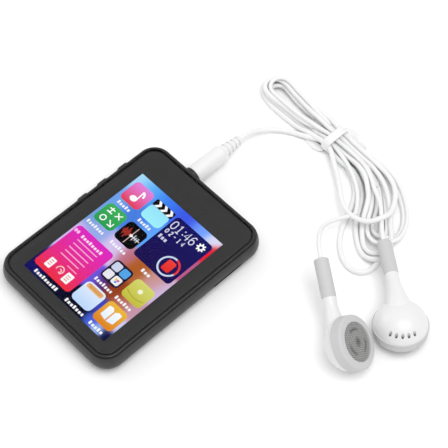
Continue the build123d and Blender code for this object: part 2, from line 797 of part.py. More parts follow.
def bud_grille():
    """A thin dished disc, bulging out of the ring."""
    outer = (grille_radius ** 2 + grille_bulge ** 2) / (2 * grille_bulge)
    cap = Pos(0, 0, bud_ring_front - 0.5 + grille_bulge - outer) * Sphere(outer)
    inner = Pos(0, 0, bud_ring_front - 0.5 + grille_bulge - outer) * Sphere(outer - grille_thickness)
    slab = Pos(0, 0, bud_ring_front) * Cylinder(grille_radius, 3.2)
    return (cap - inner) & slab


def bud_driver():
    return Pos(0, 0, -1.0 - driver_thickness / 2) * Cylinder(driver_radius, driver_thickness)


def stem_curve():
    """From the sleeve's end along a straight stem, then bending into the back of the housing."""
    tail = Vector(0, tail_forward, -tail_behind)
    root = Vector(0, 2.5, -6.0)
    knee_start = Vector(0, 10.5, -7.0)
    direction = (knee_start - tail).normalized()
    return tail, direction, knee_start, root


def bud_shell():
    """The white housing: a domed back that runs out into the stem."""
    tail, direction, knee, root = stem_curve()
    dome_depth = 6.4
    profile = Curve() + [
        Line((shell_rim_radius, 0, bud_ring_back), (0, 0, bud_ring_back)),
        Line((0, 0, bud_ring_back), (0, 0, bud_ring_back - dome_depth)),
        Spline((0, 0, bud_ring_back - dome_depth), (shell_rim_radius * 0.62, 0, bud_ring_back - dome_depth * 0.8),
               (shell_rim_radius, 0, bud_ring_back), tangents=((1, 0, 0), (0.15, 0, 1)))]
    dome = revolve(make_face(Wire(profile.edges())), Axis.Z, 360)
    plane_a = Plane(tail + direction * sleeve_length, x_dir=(1, 0, 0), z_dir=direction)
    plane_b = Plane(knee, x_dir=(1, 0, 0), z_dir=direction)
    plane_c = Plane(Vector(0, 5.6, -6.4), x_dir=(1, 0, 0), z_dir=(direction + Vector(0, -0.6, 0.25)).normalized())
    plane_d = Plane(root, x_dir=(1, 0, 0), z_dir=(0, -1, 0.7))
    stem = loft([plane_a * Circle(sleeve_radius), plane_b * Circle(stem_radius),
                 plane_c * Ellipse(stem_root_radius * 1.25, stem_root_radius), plane_d * Ellipse(4.4, 2.6)])
    shell = dome + stem
    shell -= turned([(0, bud_ring_back + 0.1), (driver_radius + 0.1, bud_ring_back + 0.1),
                     (driver_radius + 0.1, -1.0 - driver_thickness - 0.2), (0, -1.0 - driver_thickness - 1.2)])
    for angle in vent_angles:
        place = Rot(0, 0, angle) * Pos(0, -vent_ring_radius, 0)
        shell -= place * Pos(0, 0, bud_ring_back - dome_depth) * Cylinder(vent_radius, 2 * dome_depth - 2.0)
    return shell


def bud_sleeve():
    tail, direction, _, _ = stem_curve()
    sleeve = extrude(Plane(tail, x_dir=(1, 0, 0), z_dir=direction) * Circle(sleeve_radius), sleeve_length)
    return fillet(sleeve.edges().filter_by(GeomType.CIRCLE).sort_by_distance(tail)[0], 0.5)


def write(name, shape):
    shape.label = name
    export_step(shape, os.path.join("parts", name + ".step"))


def main():
    os.makedirs("parts", exist_ok=True)
    pieces = {
        "rear_shell": rear_shell(), "front_frame": front_frame(), "touch_glass": touch_glass(),
        "glass_border": glass_border(), "glass_adhesive": glass_adhesive(), "display_bond": display_bond(),
        "lcd_panel": lcd_panel(), "lcd_backlight": lcd_backlight(), "display_flex": display_flex(),
        "display_cushion": display_cushion(), "main_board": main_board(), "board_screws": board_screws(),
        "processor_chip": on_board(processor_size, can_center),
        "memory_chip": on_board(memory_size, memory_center),
        "shield_can": shield_can(), "microphone": on_board(microphone_size, (microphone_x, edge_part_y)),
        "antenna": on_board(antenna_size, (antenna_x, edge_part_y)), "battery": battery(),
        "battery_tape": battery_tape(), "audio_jack": audio_jack(), "jack_contacts": jack_contacts(),
        "jack_collar": jack_collar(), "usb_shell": usb_shell(), "usb_tongue": usb_tongue(),
        "card_socket": card_socket(), "card_contacts": card_contacts(), "plug_pin": plug_pin(),
        "plug_insulators": plug_insulators(), "plug_body": plug_body(),
        "plug_strain_relief": plug_strain_relief(), "main_cord": main_cord(), "cord_hank": cord_hank(),
        "twist_tie": twist_tie(), "cord_splitter": cord_splitter(), "left_lead": left_lead(),
        "right_lead": right_lead()}
    for pole, x in zip(("positive", "negative"), battery_lead_x):
        pieces["battery_lead_" + pole] = battery_lead(x)
    for place, y in zip(("lower", "middle", "upper"), button_y):
        pieces["button_cap_" + place] = button_cap(y)
        pieces["switch_plunger_" + place] = switch_plunger(y)
        pieces["switch_body_" + place] = switch_body(y)
    bud_pieces = {"shell": bud_shell(), "sleeve": bud_sleeve(), "ring": bud_ring(), "grille": bud_grille(),
                  "driver": bud_driver()}
    bud_places = {"left": (left_bud_center, left_bud_normal, left_bud_heading),
                  "right": (right_bud_center, right_bud_normal, right_bud_heading)}
    for side, place in bud_places.items():
        for part, shape in bud_pieces.items():
            pieces[side + "_bud_" + part] = bud_plane(*place).location * shape
    for name, shape in pieces.items():
        write(name, shape)


main()
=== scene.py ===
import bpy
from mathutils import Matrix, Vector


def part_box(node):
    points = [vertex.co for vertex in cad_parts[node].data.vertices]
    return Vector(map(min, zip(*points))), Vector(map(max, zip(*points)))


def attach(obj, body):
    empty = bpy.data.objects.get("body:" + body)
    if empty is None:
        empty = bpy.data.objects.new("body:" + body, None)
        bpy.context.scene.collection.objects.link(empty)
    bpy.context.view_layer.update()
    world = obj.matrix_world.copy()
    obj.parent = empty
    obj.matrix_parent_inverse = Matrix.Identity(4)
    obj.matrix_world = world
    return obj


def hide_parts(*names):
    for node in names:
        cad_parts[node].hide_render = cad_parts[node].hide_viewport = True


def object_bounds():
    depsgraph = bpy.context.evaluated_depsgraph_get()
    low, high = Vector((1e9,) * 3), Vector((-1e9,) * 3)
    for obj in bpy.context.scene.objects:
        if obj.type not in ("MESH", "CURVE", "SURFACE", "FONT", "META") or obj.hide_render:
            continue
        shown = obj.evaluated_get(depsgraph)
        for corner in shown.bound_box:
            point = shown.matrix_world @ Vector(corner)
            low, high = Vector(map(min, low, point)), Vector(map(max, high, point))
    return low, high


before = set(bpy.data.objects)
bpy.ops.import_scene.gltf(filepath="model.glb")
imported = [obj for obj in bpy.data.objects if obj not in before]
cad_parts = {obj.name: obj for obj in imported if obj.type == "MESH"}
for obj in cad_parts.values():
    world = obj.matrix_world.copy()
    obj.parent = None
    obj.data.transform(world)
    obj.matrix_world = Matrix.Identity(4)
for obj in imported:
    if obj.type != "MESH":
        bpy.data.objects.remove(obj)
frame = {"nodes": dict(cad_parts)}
import fnmatch
import math
import bmesh
import bpy
import numpy as np
from mathutils import Vector

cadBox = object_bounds()
nodes = frame["nodes"]
mm = 0.001

# ---- camera and light ----
cameraView = {"target": (9.498, 30.316, 0.0), "distance": 519.08, "azimuth": 46.212, "elevation": 57.179,
              "fieldOfView": 15.5, "sensor": 36.0, "nearest": 0.01, "farthest": 20}
studio = {"worldColour": (1.0, 1.0, 1.0), "worldStrength": 0.7, "floorSize": 1.6, "floorTone": 0.95,
          "floorDrop": 0.00002, "cloudScale": 4.0, "cloudShade": 0.995,
          "lamps": {  # name: place, size, watts
              "overheadSoftbox": ((0.26, 0.02, 0.95), 0.8, 5.1),
              "windowSoftbox": ((-0.80, -0.25, 0.50), 0.6, 1.1)}}


def put(name, data):
    thing = bpy.data.objects.new(name, data)
    bpy.context.collection.objects.link(thing)
    return thing


def aim(thing, place, back):
    # set at its place, its own -Z away from the way back
    thing.location = place
    thing.rotation_mode = "QUATERNION"
    thing.rotation_quaternion = (-back).to_track_quat("-Z", "Y")


def placeCamera():
    # the line of sight: sine and cosine of azimuth and elevation, backwards from the target
    azimuth, elevation = math.radians(cameraView["azimuth"]), math.radians(cameraView["elevation"])
    back = Vector((math.sin(azimuth) * math.cos(elevation), -math.cos(azimuth) * math.cos(elevation),
                   math.sin(elevation)))
    lens = bpy.data.cameras.new("camera")
    lens.sensor_width = cameraView["sensor"]
    lens.lens = cameraView["sensor"] / (2 * math.tan(math.radians(cameraView["fieldOfView"] / 2)))
    lens.clip_start, lens.clip_end = cameraView["nearest"], cameraView["farthest"]
    camera = put("camera", lens)
    aim(camera, (Vector(cameraView["target"]) + back * cameraView["distance"]) * mm, back)
    bpy.context.scene.camera = camera


placeCamera()
print("camera placed")


# ---- material building ----
class Wire:
    # a node's output socket with arithmetic; each operator adds a Math node
    def __init__(self, tree, socket):
        self.tree, self.socket = tree, socket

    def math(self, operation, *values):
        node = self.tree.nodes.new("ShaderNodeMath")
        node.operation = operation
        for place, value in enumerate(values):
            connect(node.inputs[place], value)
        return Wire(self.tree, node.outputs[0])

    def __add__(self, other):
        return self.math("ADD", self, other)

    def __mul__(self, other):
        return self.math("MULTIPLY", self, other)


def connect(socket, value):
    if isinstance(value, Wire):
        value.tree.links.new(value.socket, socket)
    elif isinstance(value, tuple) and len(value) == 3 and len(socket.default_value) == 4:
        socket.default_value = (*value, 1.0)
    else:
        socket.default_value = value


def toLight(colour):
    # from display numbers, 0 to 255, to light: the standard display curve undone
    c = np.asarray(colour, float) / 255
    return np.where(c <= 0.04045, c / 12.92, ((c + 0.055) / 1.055) ** 2.4)


class Finish:
    # a material being made: its shader's fixed values first, then nodes added and joined to it
    def __init__(self, name, **shader):
        self.material = bpy.data.materials.new(name)
        self.material.use_nodes = True
        self.tree = self.material.node_tree
        self.shader = next(n for n in self.tree.nodes if n.type == "BSDF_PRINCIPLED")
        for key, value in shader.items():
            connect(self.shader.inputs[key.replace("_", " ")], value)

    def node(self, kind, sockets=None, output=0, **settings):
        node = self.tree.nodes.new("ShaderNode" + kind)
        for key, value in settings.items():
            setattr(node, key, value)
        for key, value in (sockets or {}).items():
            connect(node.inputs[key], value)
        return Wire(self.tree, node.outputs[output])

    def place(self):
        return self.node("TexCoord", output="Object")

    def noise(self, scale, detail=2.0, roughness=0.5, vector=None):
        return self.node("TexNoise", {"Vector": vector or self.place(), "Scale": scale, "Detail": detail,
                                      "Roughness": roughness})

    def stretched(self, scale, turn=0.0):
        # the piece's own place, drawn out along one way
        return self.node("Mapping", {"Vector": self.place(), "Rotation": (0.0, 0.0, turn), "Scale": scale})

    def blend(self, share, low, high):
        # one colour into another by a share
        return self.node("Mix", {0: share, 6: low, 7: high}, 2, data_type="RGBA")

    def between(self, value, low, high, fromLow=0.0, fromHigh=1.0):
        return self.node("MapRange", {"Value": value, "From Min": fromLow, "From Max": fromHigh,
                                      "To Min": low, "To Max": high})

    def feed(self, socket, value):
        connect(self.shader.inputs[socket], value)

    def done(self, colour, roughness, height=None, depth=0.0):
        # colour and gloss joined on, and relief where there is a height; the material is then ready
        self.feed("Base Color", colour)
        self.feed("Roughness", roughness)
        if height:
            self.feed("Normal", self.node("Bump", {"Height": height, "Distance": depth}))
        return self.material


def shade(colour, share):
    return tuple(min(1.0, c * share) for c in colour)


def mouldedPlastic(name, colour, roughness, grain=9000.0, depth=0.00001, spread=0.06, swing=0.06, **shader):
    # a fine moulded texture, slightly uneven in tone and gloss over the whole piece
    finish = Finish(name, **shader)
    broad = finish.noise(140.0, 3.0)
    fine = finish.noise(grain, 2.0)
    return finish.done(finish.blend(broad, shade(colour, 1 - spread), shade(colour, 1 + spread)),
                       finish.between(broad * 0.6 + fine * 0.4, roughness - swing, roughness + swing),
                       fine, depth)


def caseBlack(name, colour, roughness):
    # satin black: spark-eroded grain and faint handling marks in the gloss
    finish = Finish(name, Specular_IOR_Level=0.5)
    grain = finish.noise(11000.0, 3.0, 0.6)
    cloud = finish.noise(90.0, 4.0, 0.6)
    smear = finish.noise(60.0, 4.0, 0.6, finish.stretched((1.0, 6.0, 1.0), 0.6))
    return finish.done(finish.blend(cloud, shade(colour, 0.9), shade(colour, 1.1)),
                       finish.between(smear * 0.7 + grain * 0.3, roughness - 0.07, roughness + 0.09,
                                      0.3, 0.7),
                       grain, 0.000012)


def metal(name, colour, roughness, brush=(1.0, 14.0, 14.0)):
    # brushed one way: noise stretched along the piece
    finish = Finish(name, Metallic=1.0)
    lines = finish.noise(2500.0, 3.0, 0.6, finish.stretched(brush))
    return finish.done(finish.blend(lines, shade(colour, 0.85), colour),
                       finish.between(lines, roughness - 0.06, roughness + 0.08), lines, 0.000004)


def coverGlass():
    # clear glass: a gloss layer over plain transparency, more of it at a glance, with faint fingertip haze
    finish = Finish("coverGlass", Base_Color=(0.0, 0.0, 0.0), IOR=1.5, Specular_IOR_Level=1.0)
    haze = finish.noise(120.0, 4.0, 0.65)
    finish.feed("Roughness", finish.between(haze, 0.015, 0.06, 0.45, 0.75))
    clear = finish.node("BsdfTransparent", {"Color": (0.985, 0.99, 0.99)})
    glance = finish.node("LayerWeight", {"Blend": 0.28}, "Fresnel")
    gloss = Wire(finish.tree, finish.shader.outputs[0])
    both = finish.node("MixShader", {0: finish.between(glance, 0.05, 0.85, 0.05, 0.75), 1: clear, 2: gloss})
    output = next(n for n in finish.tree.nodes if n.type == "OUTPUT_MATERIAL")
    connect(output.inputs["Surface"], both)
    return finish.material


def borderPrintWithReflection():
    # screen-printed dark ink with a very fine stipple; its charcoal tone is lighter than the ink, a painted
    # reflection of the bright room in the glass above it
    finish = Finish("borderPrintWithReflection", Specular_IOR_Level=0.2)
    stipple = finish.noise(16000.0, 2.0)
    cloud = finish.noise(60.0, 3.0)
    # the two charcoal tones are dark ink plus painted reflection
    return finish.done(finish.blend(stipple * 0.15 + cloud * 0.85, (0.0435, 0.0425, 0.042),
                                    (0.0525, 0.0515, 0.051)), finish.between(stipple, 0.4, 0.6))


def litDisplay():
    # the picture's colours are on the mesh; a faint lattice dims the light between its cells
    finish = Finish("litDisplay", Emission_Strength=0.9, Specular_IOR_Level=0.0)
    tint = finish.node("Attribute", None, "Color", attribute_name="tint")
    pitch = 0.000153
    cells = []
    for output in (0, 1):
        part = finish.node("SeparateXYZ", {"Vector": finish.place()}, output)
        cells.append(part.math("ABSOLUTE", part.math("SINE", part * (math.pi / pitch))))
    lattice = finish.between(cells[0].math("MINIMUM", *cells), 0.92, 1.0, 0.0, 0.35)
    finish.feed("Emission Color", finish.blend(lattice, (0.0, 0.0, 0.0), tint))
    return finish.done(finish.blend(0.3, (0.0, 0.0, 0.0), tint), 0.6)


def cordJacket(name, tone):
    # soft white jacket: very fine ripple from the drawing die, a little uneven gloss
    finish = Finish(name, Specular_IOR_Level=0.45)
    ripple = finish.noise(5200.0, 2.0)
    cloud = finish.noise(220.0, 3.0)
    return finish.done(finish.blend(cloud, shade(tone, 0.965), tone),
                       finish.between(ripple * 0.5 + cloud * 0.5, 0.34, 0.52), ripple, 0.000008)


def grilleMesh():
    # punched steel: dark holes in satin grey, darker where the cloth behind shows
    finish = Finish("grilleMesh", Specular_IOR_Level=0.5)
    hole = finish.node("Attribute", None, "Fac", attribute_name="hole")
    patch = finish.node("Attribute", None, "Fac", attribute_name="patch")
    land = finish.blend(finish.noise(2600.0, 3.0), (0.34, 0.34, 0.335), (0.46, 0.46, 0.455))
    shaded = finish.blend(patch, land, (0.12, 0.12, 0.117))
    finish.feed("Metallic", finish.between(hole, 0.35, 0.0))
    return finish.done(finish.blend(hole, shaded, (0.07, 0.07, 0.07)), finish.between(hole, 0.42, 0.85))


def board(name, colour, line):
    # solder mask with copper runs showing through as thin paler lines
    finish = Finish(name)
    runs = finish.node("TexVoronoi", {"Vector": finish.place(), "Scale": 620.0}, feature="DISTANCE_TO_EDGE")
    mask = finish.between(runs, 1.0, 0.0, 0.02, 0.06)
    return finish.done(finish.blend(mask, colour, line), finish.between(finish.noise(900.0), 0.3, 0.45),
                       mask, 0.00002)


paleGrey = tuple(toLight((196, 196, 197)).tolist())
moulded = {  # colour, roughness, fineness and depth of the grain, spread of tone
    "adhesiveFoam": ((0.02, 0.02, 0.02), 0.8, 6000.0, 0.00003),
    "displayCell": ((0.012, 0.012, 0.016), 0.25),
    "backlightFrame": ((0.78, 0.78, 0.76), 0.5),
    "flexFilm": ((0.42, 0.16, 0.03), 0.35, 3000.0, 0.000006, 0.12),
    "cushionFoam": ((0.11, 0.11, 0.12), 0.9, 4200.0, 0.00006, 0.2),
    "chipBlack": ((0.015, 0.015, 0.016), 0.55, 7000.0, 0.00002),
    "antennaCeramic": ((0.74, 0.73, 0.7), 0.5),
    "tapeFoam": ((0.2, 0.2, 0.2), 0.85, 4000.0, 0.00004),
    "socketBlack": ((0.012, 0.012, 0.012), 0.45),
    "collarBlack": ((0.014, 0.014, 0.015), 0.3),
    "wireRed": ((0.55, 0.02, 0.02), 0.4),
    "wireBlack": ((0.015, 0.015, 0.015), 0.4),
    "insulatorBlack": ((0.014, 0.014, 0.014), 0.4),
    "plungerWhite": ((0.7, 0.7, 0.68), 0.45),
    "plugWhite": ((0.8, 0.8, 0.805), 0.26, 5000.0, 0.000005, 0.02),
    "sleeveGrey": (paleGrey, 0.6, 8000.0, 0.000012, 0.03),
    "ringGrey": (paleGrey, 0.55, 8000.0, 0.000014, 0.03),
    "driverDark": ((0.05, 0.05, 0.05), 0.5),
    "tieWhite": ((0.84, 0.84, 0.84), 0.35, 2600.0, 0.00001, 0.03)}
finishes = {material.name: material for material in (
    caseBlack("caseBlack", (0.0135, 0.0135, 0.0148), 0.4),
    caseBlack("frameBlack", (0.012, 0.012, 0.013), 0.24),
    caseBlack("buttonBlack", (0.013, 0.013, 0.0138), 0.38),
    coverGlass(), borderPrintWithReflection(), litDisplay(), grilleMesh(),
    board("circuitBoard", (0.006, 0.075, 0.03), (0.03, 0.2, 0.07)),
    metal("screwSteel", (0.56, 0.56, 0.57), 0.3),
    metal("tinPlate", (0.66, 0.65, 0.62), 0.36, (12.0, 1.0, 12.0)),
    metal("pouchFoil", (0.6, 0.6, 0.61), 0.42, (1.0, 4.0, 4.0)),
    metal("contactBrass", (0.72, 0.52, 0.24), 0.25, (10.0, 1.0, 10.0)),
    metal("platedPin", (0.78, 0.77, 0.74), 0.16, (14.0, 1.0, 14.0)),
    mouldedPlastic("budWhite", (0.77, 0.77, 0.773), 0.34, 4200.0, 0.000003, 0.015, 0.03,
                   Coat_Weight=0.12, Coat_Roughness=0.22),
    cordJacket("cordWhite", (0.86, 0.86, 0.863)),
    cordJacket("leadWhite", (0.86, 0.86, 0.863)),
    *(mouldedPlastic(name, *values) for name, values in moulded.items()))}
print("materials made", len(finishes))

finishNodes = {  # a star stands for either side, or any of the three buttons
    "caseBlack": "rear_shell", "frameBlack": "front_frame", "coverGlass": "touch_glass display_bond",
    "borderPrintWithReflection": "glass_border", "adhesiveFoam": "glass_adhesive", "displayCell": "lcd_panel",
    "backlightFrame": "lcd_backlight", "flexFilm": "display_flex", "cushionFoam": "display_cushion",
    "circuitBoard": "main_board", "screwSteel": "board_screws", "chipBlack": "processor_chip memory_chip",
    "tinPlate": "shield_can microphone usb_shell", "antennaCeramic": "antenna", "pouchFoil": "battery",
    "tapeFoam": "battery_tape", "contactBrass": "jack_contacts card_contacts", "collarBlack": "jack_collar",
    "socketBlack": "audio_jack usb_tongue card_socket switch_body_*", "buttonBlack": "button_cap_*",
    "plungerWhite": "switch_plunger_*", "platedPin": "plug_pin", "insulatorBlack": "plug_insulators",
    "tieWhite": "twist_tie", "plugWhite": "plug_body plug_strain_relief cord_splitter",
    "cordWhite": "main_cord cord_hank", "leadWhite": "left_lead right_lead",
    "wireRed": "battery_lead_positive", "wireBlack": "battery_lead_negative", "budWhite": "*_bud_shell",
    "sleeveGrey": "*_bud_sleeve", "ringGrey": "*_bud_ring", "grilleMesh": "*_bud_grille",
    "driverDark": "*_bud_driver"}
for finish, patterns in finishNodes.items():
    for name in (name for pattern in patterns.split() for name in fnmatch.filter(nodes, pattern)):
        if not nodes[name].material_slots:
            nodes[name].data.materials.append(None)
        for slot in nodes[name].material_slots:
            slot.material = finishes[finish]


# ---- mesh helpers ----
def makePiece(name, vertices, faces, finish, body, smooth=True, attributes=None, weld=False):
    # vertices in millimetres as one array, faces as one array of corner numbers; points that meet can be
    # welded into one, and a closed surface is then turned outwards
    mesh = bpy.data.meshes.new(name)
    faces = faces if isinstance(faces, list) else faces.tolist()
    mesh.from_pydata((np.asarray(vertices) * mm).tolist(), [], faces)
    for key, values in (attributes or {}).items():
        kind, field = ("FLOAT_COLOR", "color") if np.ndim(values) == 2 else ("FLOAT", "value")
        layer = mesh.attributes.new(key, kind, "POINT")
        layer.data.foreach_set(field, np.asarray(values, np.float32).ravel())
    if weld:
        solid = bmesh.new()
        solid.from_mesh(mesh)
        bmesh.ops.remove_doubles(solid, verts=solid.verts, dist=1e-8)
        if all(edge.is_manifold for edge in solid.edges):
            bmesh.ops.recalc_face_normals(solid, faces=solid.faces)
        solid.to_mesh(mesh)
        solid.free()
    mesh.polygons.foreach_set("use_smooth", [smooth] * len(mesh.polygons))
    mesh.update()
    piece = put(name, mesh)
    mesh.materials.append(finishes[finish])
    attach(piece, body)
    return piece


def gridFaces(rows, columns, closedRows=False, closedColumns=False):
    # four corner numbers for each cell of a grid whose points run along a row first
    r = np.arange(rows if closedRows else rows - 1)
    c = np.arange(columns if closedColumns else columns - 1)
    r, c = np.meshgrid(r, c, indexing="ij")
    nextR, nextC = (r + 1) % rows, (c + 1) % columns
    cells = [r * columns + c, r * columns + nextC, nextR * columns + nextC, nextR * columns + c]
    return np.stack(cells, -1).reshape(-1, 4)


def onCircle(x, y, r, angle):
    return np.stack([x + r * np.cos(angle), y + r * np.sin(angle)], 1)


def roundedOutline(x0, x1, y0, y1, r):
    # a rectangle's four corners, each a quarter circle
    turn = np.linspace(0, math.pi / 2, 9)
    middles = ((x1 - r, y1 - r), (x0 + r, y1 - r), (x0 + r, y0 + r), (x1 - r, y0 + r))
    return np.vstack([onCircle(*middle, r, turn + quarter * math.pi / 2)
                      for quarter, middle in enumerate(middles)])


def directions(path):
    # which way a line of points runs at each of them
    along = np.gradient(path, axis=0)
    return along / np.linalg.norm(along, axis=1)[:, None]


# ---- bundled cord: strands laid in plan, then settled on and beside each other ----
cords = {"cordDiameter": 1.7, "leadDiameter": 1.4, "keepEvery": 2, "roundness": 3}
hank = {"tieX": 12.2, "tieY": (72.85, 81.95), "tieZ": (0.55, 5.75), "tieHalfWidth": 1.9,
        "columns": (74.0, 75.7, 77.4, 79.1, 80.8), "rows": (1.4, 3.1, 4.8),
        "spacing": 1.25, "steps": 24, "rounds": 900, "recheck": 20, "reach": 3.4, "pull": 0.02,
        "heightPull": 0.3, "lateFrom": 0.75, "latePull": 0.25, "sag": 0.006, "smoothing": 0.1, "passes": 2,
        "stretch": 0.3, "span": 4, "leastBend": 5.4, "unbend": 0.4, "apart": 0.35, "gap": 0.03,
        "obstacleGap": 0.05, "floorGap": 0.02}
# the right bud's sleeve and the splitter: start, end, radius
obstacles = [((51.57, 58.37, 6.32), (61.5, 51.1, 7.6), 2.3), ((25.92, 76.4, 2.6), (34.08, 72.6, 2.6), 1.9)]
mainRoute = [(-8.55, 54.55, 4.3), (-8.55, 57.2, 4.3), (-8.1, 60.4, 3.5), (-7.1, 63.6, 2.3), (-5.1, 66.9, 1.4),
             (-2.0, 69.7, 1.0), (1.8, 71.6, 1.1), (5.8, 73.0, 1.7), (9.6, 74.8, 2.6)]
leftRoute = [(37.6, 60.2, 4.4), (35.7, 56.6, 4.9), (34.6, 52.6, 6.0), (34.8, 48.2, 8.0), (37.2, 44.2, 10.8),
             (41.16, 39.63, 12.69), (44.41, 37.5, 11.73)]
rightRoute = [(35.4, 71.4, 5.0), (39.4, 69.4, 5.3), (42.9, 66.6, 6.0), (48.36, 60.73, 5.98),
              (51.57, 58.37, 6.32)]
# the loops below the tie, each out from it and back
nearLoop = [(15.3, 73.7, 3.0), (19.8, 73.3, 2.6), (24.7, 73.1, 2.4), (29.2, 72.3, 2.4), (32.7, 70.1, 2.4),
            (34.8, 66.3, 2.4), (36.6, 62.3, 2.4), (38.9, 59, 2.4), (42.6, 55.7, 2.4), (46.6, 53.4, 2.4),
            (50.6, 52.4, 1.8), (53.6, 54.4, 1.2), (53.4, 58.2, 1.0), (50.6, 62.2, 1.0), (46.9, 66.4, 1.0),
            (41.6, 71.0, 1.0), (34.8, 76.4, 1.0), (28.3, 78.6, 1.2), (21.7, 79.0, 1.3)]
topLoop = [(15.6, 72.2, 5.0), (20.4, 69.4, 4.9), (24.7, 66.7, 4.9), (27.8, 63.8, 5.0), (30.7, 61.0, 5.4),
           (34, 59.2, 6.2), (38, 58.8, 6.9), (42.1, 59.5, 7.2), (45.3, 61.6, 7.0), (46, 65.9, 6.4),
           (44, 71.3, 5.6), (40.9, 76.2, 5.0), (36.7, 79.4, 4.6), (32, 80.4, 4.6), (26.2, 80.3, 4.8),
           (20.6, 80.6, 4.9)]
wideLoop = [(15.4, 75.4, 1.3), (20, 74.2, 1.0), (26, 72.4, 0.9), (31, 68.2, 0.9), (33.6, 63.4, 0.9),
            (34.8, 59.6, 0.9), (36, 56.5, 0.9), (38, 53.0, 0.9), (40.5, 50.2, 0.9), (43.9, 47.6, 0.9),
            (48.2, 46.3, 0.9), (52.2, 47.4, 0.9), (54.2, 50.8, 0.9), (53.2, 55.2, 0.9), (49.7, 59.6, 0.9),
            (45.6, 64.4, 0.9), (41.4, 68.6, 0.9), (36.4, 73.6, 0.9), (30.6, 77.0, 0.9), (24, 77.8, 1.0)]
middleLoop = [(15.4, 75.9, 3.1), (18.8, 76.1, 3.6), (24.1, 75.9, 4.2), (29, 74.9, 4.9), (33, 72.6, 4.6),
              (36.1, 69.0, 4.2), (37.8, 65, 4.1), (39.6, 61.3, 4.1), (42.8, 58, 4.0), (46.7, 55.4, 3.0),
              (50.4, 54.4, 2.6), (52.9, 56.2, 2.6), (52.6, 59.8, 2.6), (49.6, 63.6, 2.6), (45.8, 67.6, 2.6),
              (41.2, 72.0, 2.6), (36.0, 76.4, 2.8), (30.0, 78.7, 3.0), (22.6, 79.2, 3.1)]
toSplitter = [(15.4, 77.4, 3.1), (18.6, 77.5, 3.0), (22.4, 77.3, 2.8), (25.92, 76.4, 2.6)]
leftOut = [(33.76, 71.9, 2.6), (36.2, 70.3, 3.3), (38.6, 67.2, 3.8), (40.2, 63.4, 4.2), (42.6, 60.2, 4.4),
           (45.6, 57.9, 4.2), (49.0, 57.6, 3.4), (51.6, 60.2, 2.8), (52.3, 64.0, 2.6), (51.6, 68.2, 2.4),
           (49.6, 72.0, 2.4), (46.2, 75.2, 2.4), (41.8, 78.2, 2.4), (36.6, 81.0, 2.4), (31.0, 82.2, 2.6),
           (25.6, 81.4, 2.9), (20.2, 80.8, 3.1)]
rightOut = [(34.4, 73.3, 2.6), (37.2, 71.7, 2.6), (39.8, 68.2, 2.8), (41.6, 64.6, 3.0), (44.0, 61.4, 3.0),
            (47.2, 60.0, 2.6), (50.0, 61.8, 1.4), (50.9, 65.4, 0.9), (50.2, 69.4, 0.9), (47.8, 73.0, 0.9),
            (43.9, 76.0, 0.9), (39.0, 79.2, 0.9), (33.8, 81.6, 0.9), (28.4, 82.0, 1.0), (22.0, 81.2, 1.2)]
toLeftBud = [(15.4, 75.4, 4.9), (20, 74.0, 4.6), (26.0, 72.0, 4.4), (31.2, 69.0, 4.2), (35.0, 64.8, 4.2)]
toRightBud = [(15.4, 77.5, 4.9), (20.4, 77.4, 5.2), (25.6, 76.6, 5.6), (30.8, 74.4, 5.6)]


def throughTie(slot, way):
    # three points straight through one place in the tie
    y, z = slot
    half = hank["tieHalfWidth"]
    return [(hank["tieX"] + way * x, y, z) for x in (-half, 0.0, half)]


def farLobe(size, lift, start, end):
    # out along the far side, round a half-circle tip and back along the near side
    tipX, farY, nearY = size
    out = [(6.6, 0.35 * farY + 0.65 * start[0], 0.5 * lift + 0.5 * start[1]),
           (0.0, farY - 1.6, lift), (-7.5, farY - 0.5, lift), (-13.5, farY, lift)]
    middle, half = (farY + nearY + 0.9) / 2, (farY - nearY - 0.9) / 2
    tip = [(tipX + half - half * math.cos(a), middle + half * math.sin(a), lift)
           for a in np.linspace(0.42 * math.pi, -0.42 * math.pi, 7)]
    back = [(-12.5, nearY + 0.2, lift), (-6.0, nearY, lift), (0.6, nearY + 0.3, lift),
            (6.8, 0.5 * nearY + 0.5 * end[0], 0.5 * lift + 0.5 * end[1])]
    return out + tip + back


def evenPoints(points):
    # a cubic through the given points, each span's slope from the points beside it, walked at one spacing
    p = np.array(points, float)
    ends = np.vstack([2 * p[0] - p[1], p, 2 * p[-1] - p[-2]])
    t = np.linspace(0, 1, hank["steps"], endpoint=False)[:, None]
    a, b, c, d = ends[:-3, None], ends[1:-2, None], ends[2:-1, None], ends[3:, None]
    fine = 0.5 * (2 * b + (c - a) * t + (2 * a - 5 * b + 4 * c - d) * t ** 2
                  + (3 * b - a - 3 * c + d) * t ** 3)
    fine = np.vstack([fine.reshape(-1, 3), p[-1:]])
    along = np.concatenate([[0], np.cumsum(np.linalg.norm(np.diff(fine, axis=0), axis=1))])
    stops = np.linspace(0, along[-1], max(3, int(round(along[-1] / hank["spacing"])) + 1))
    return np.stack([np.interp(stops, along, fine[:, k]) for k in range(3)], 1)


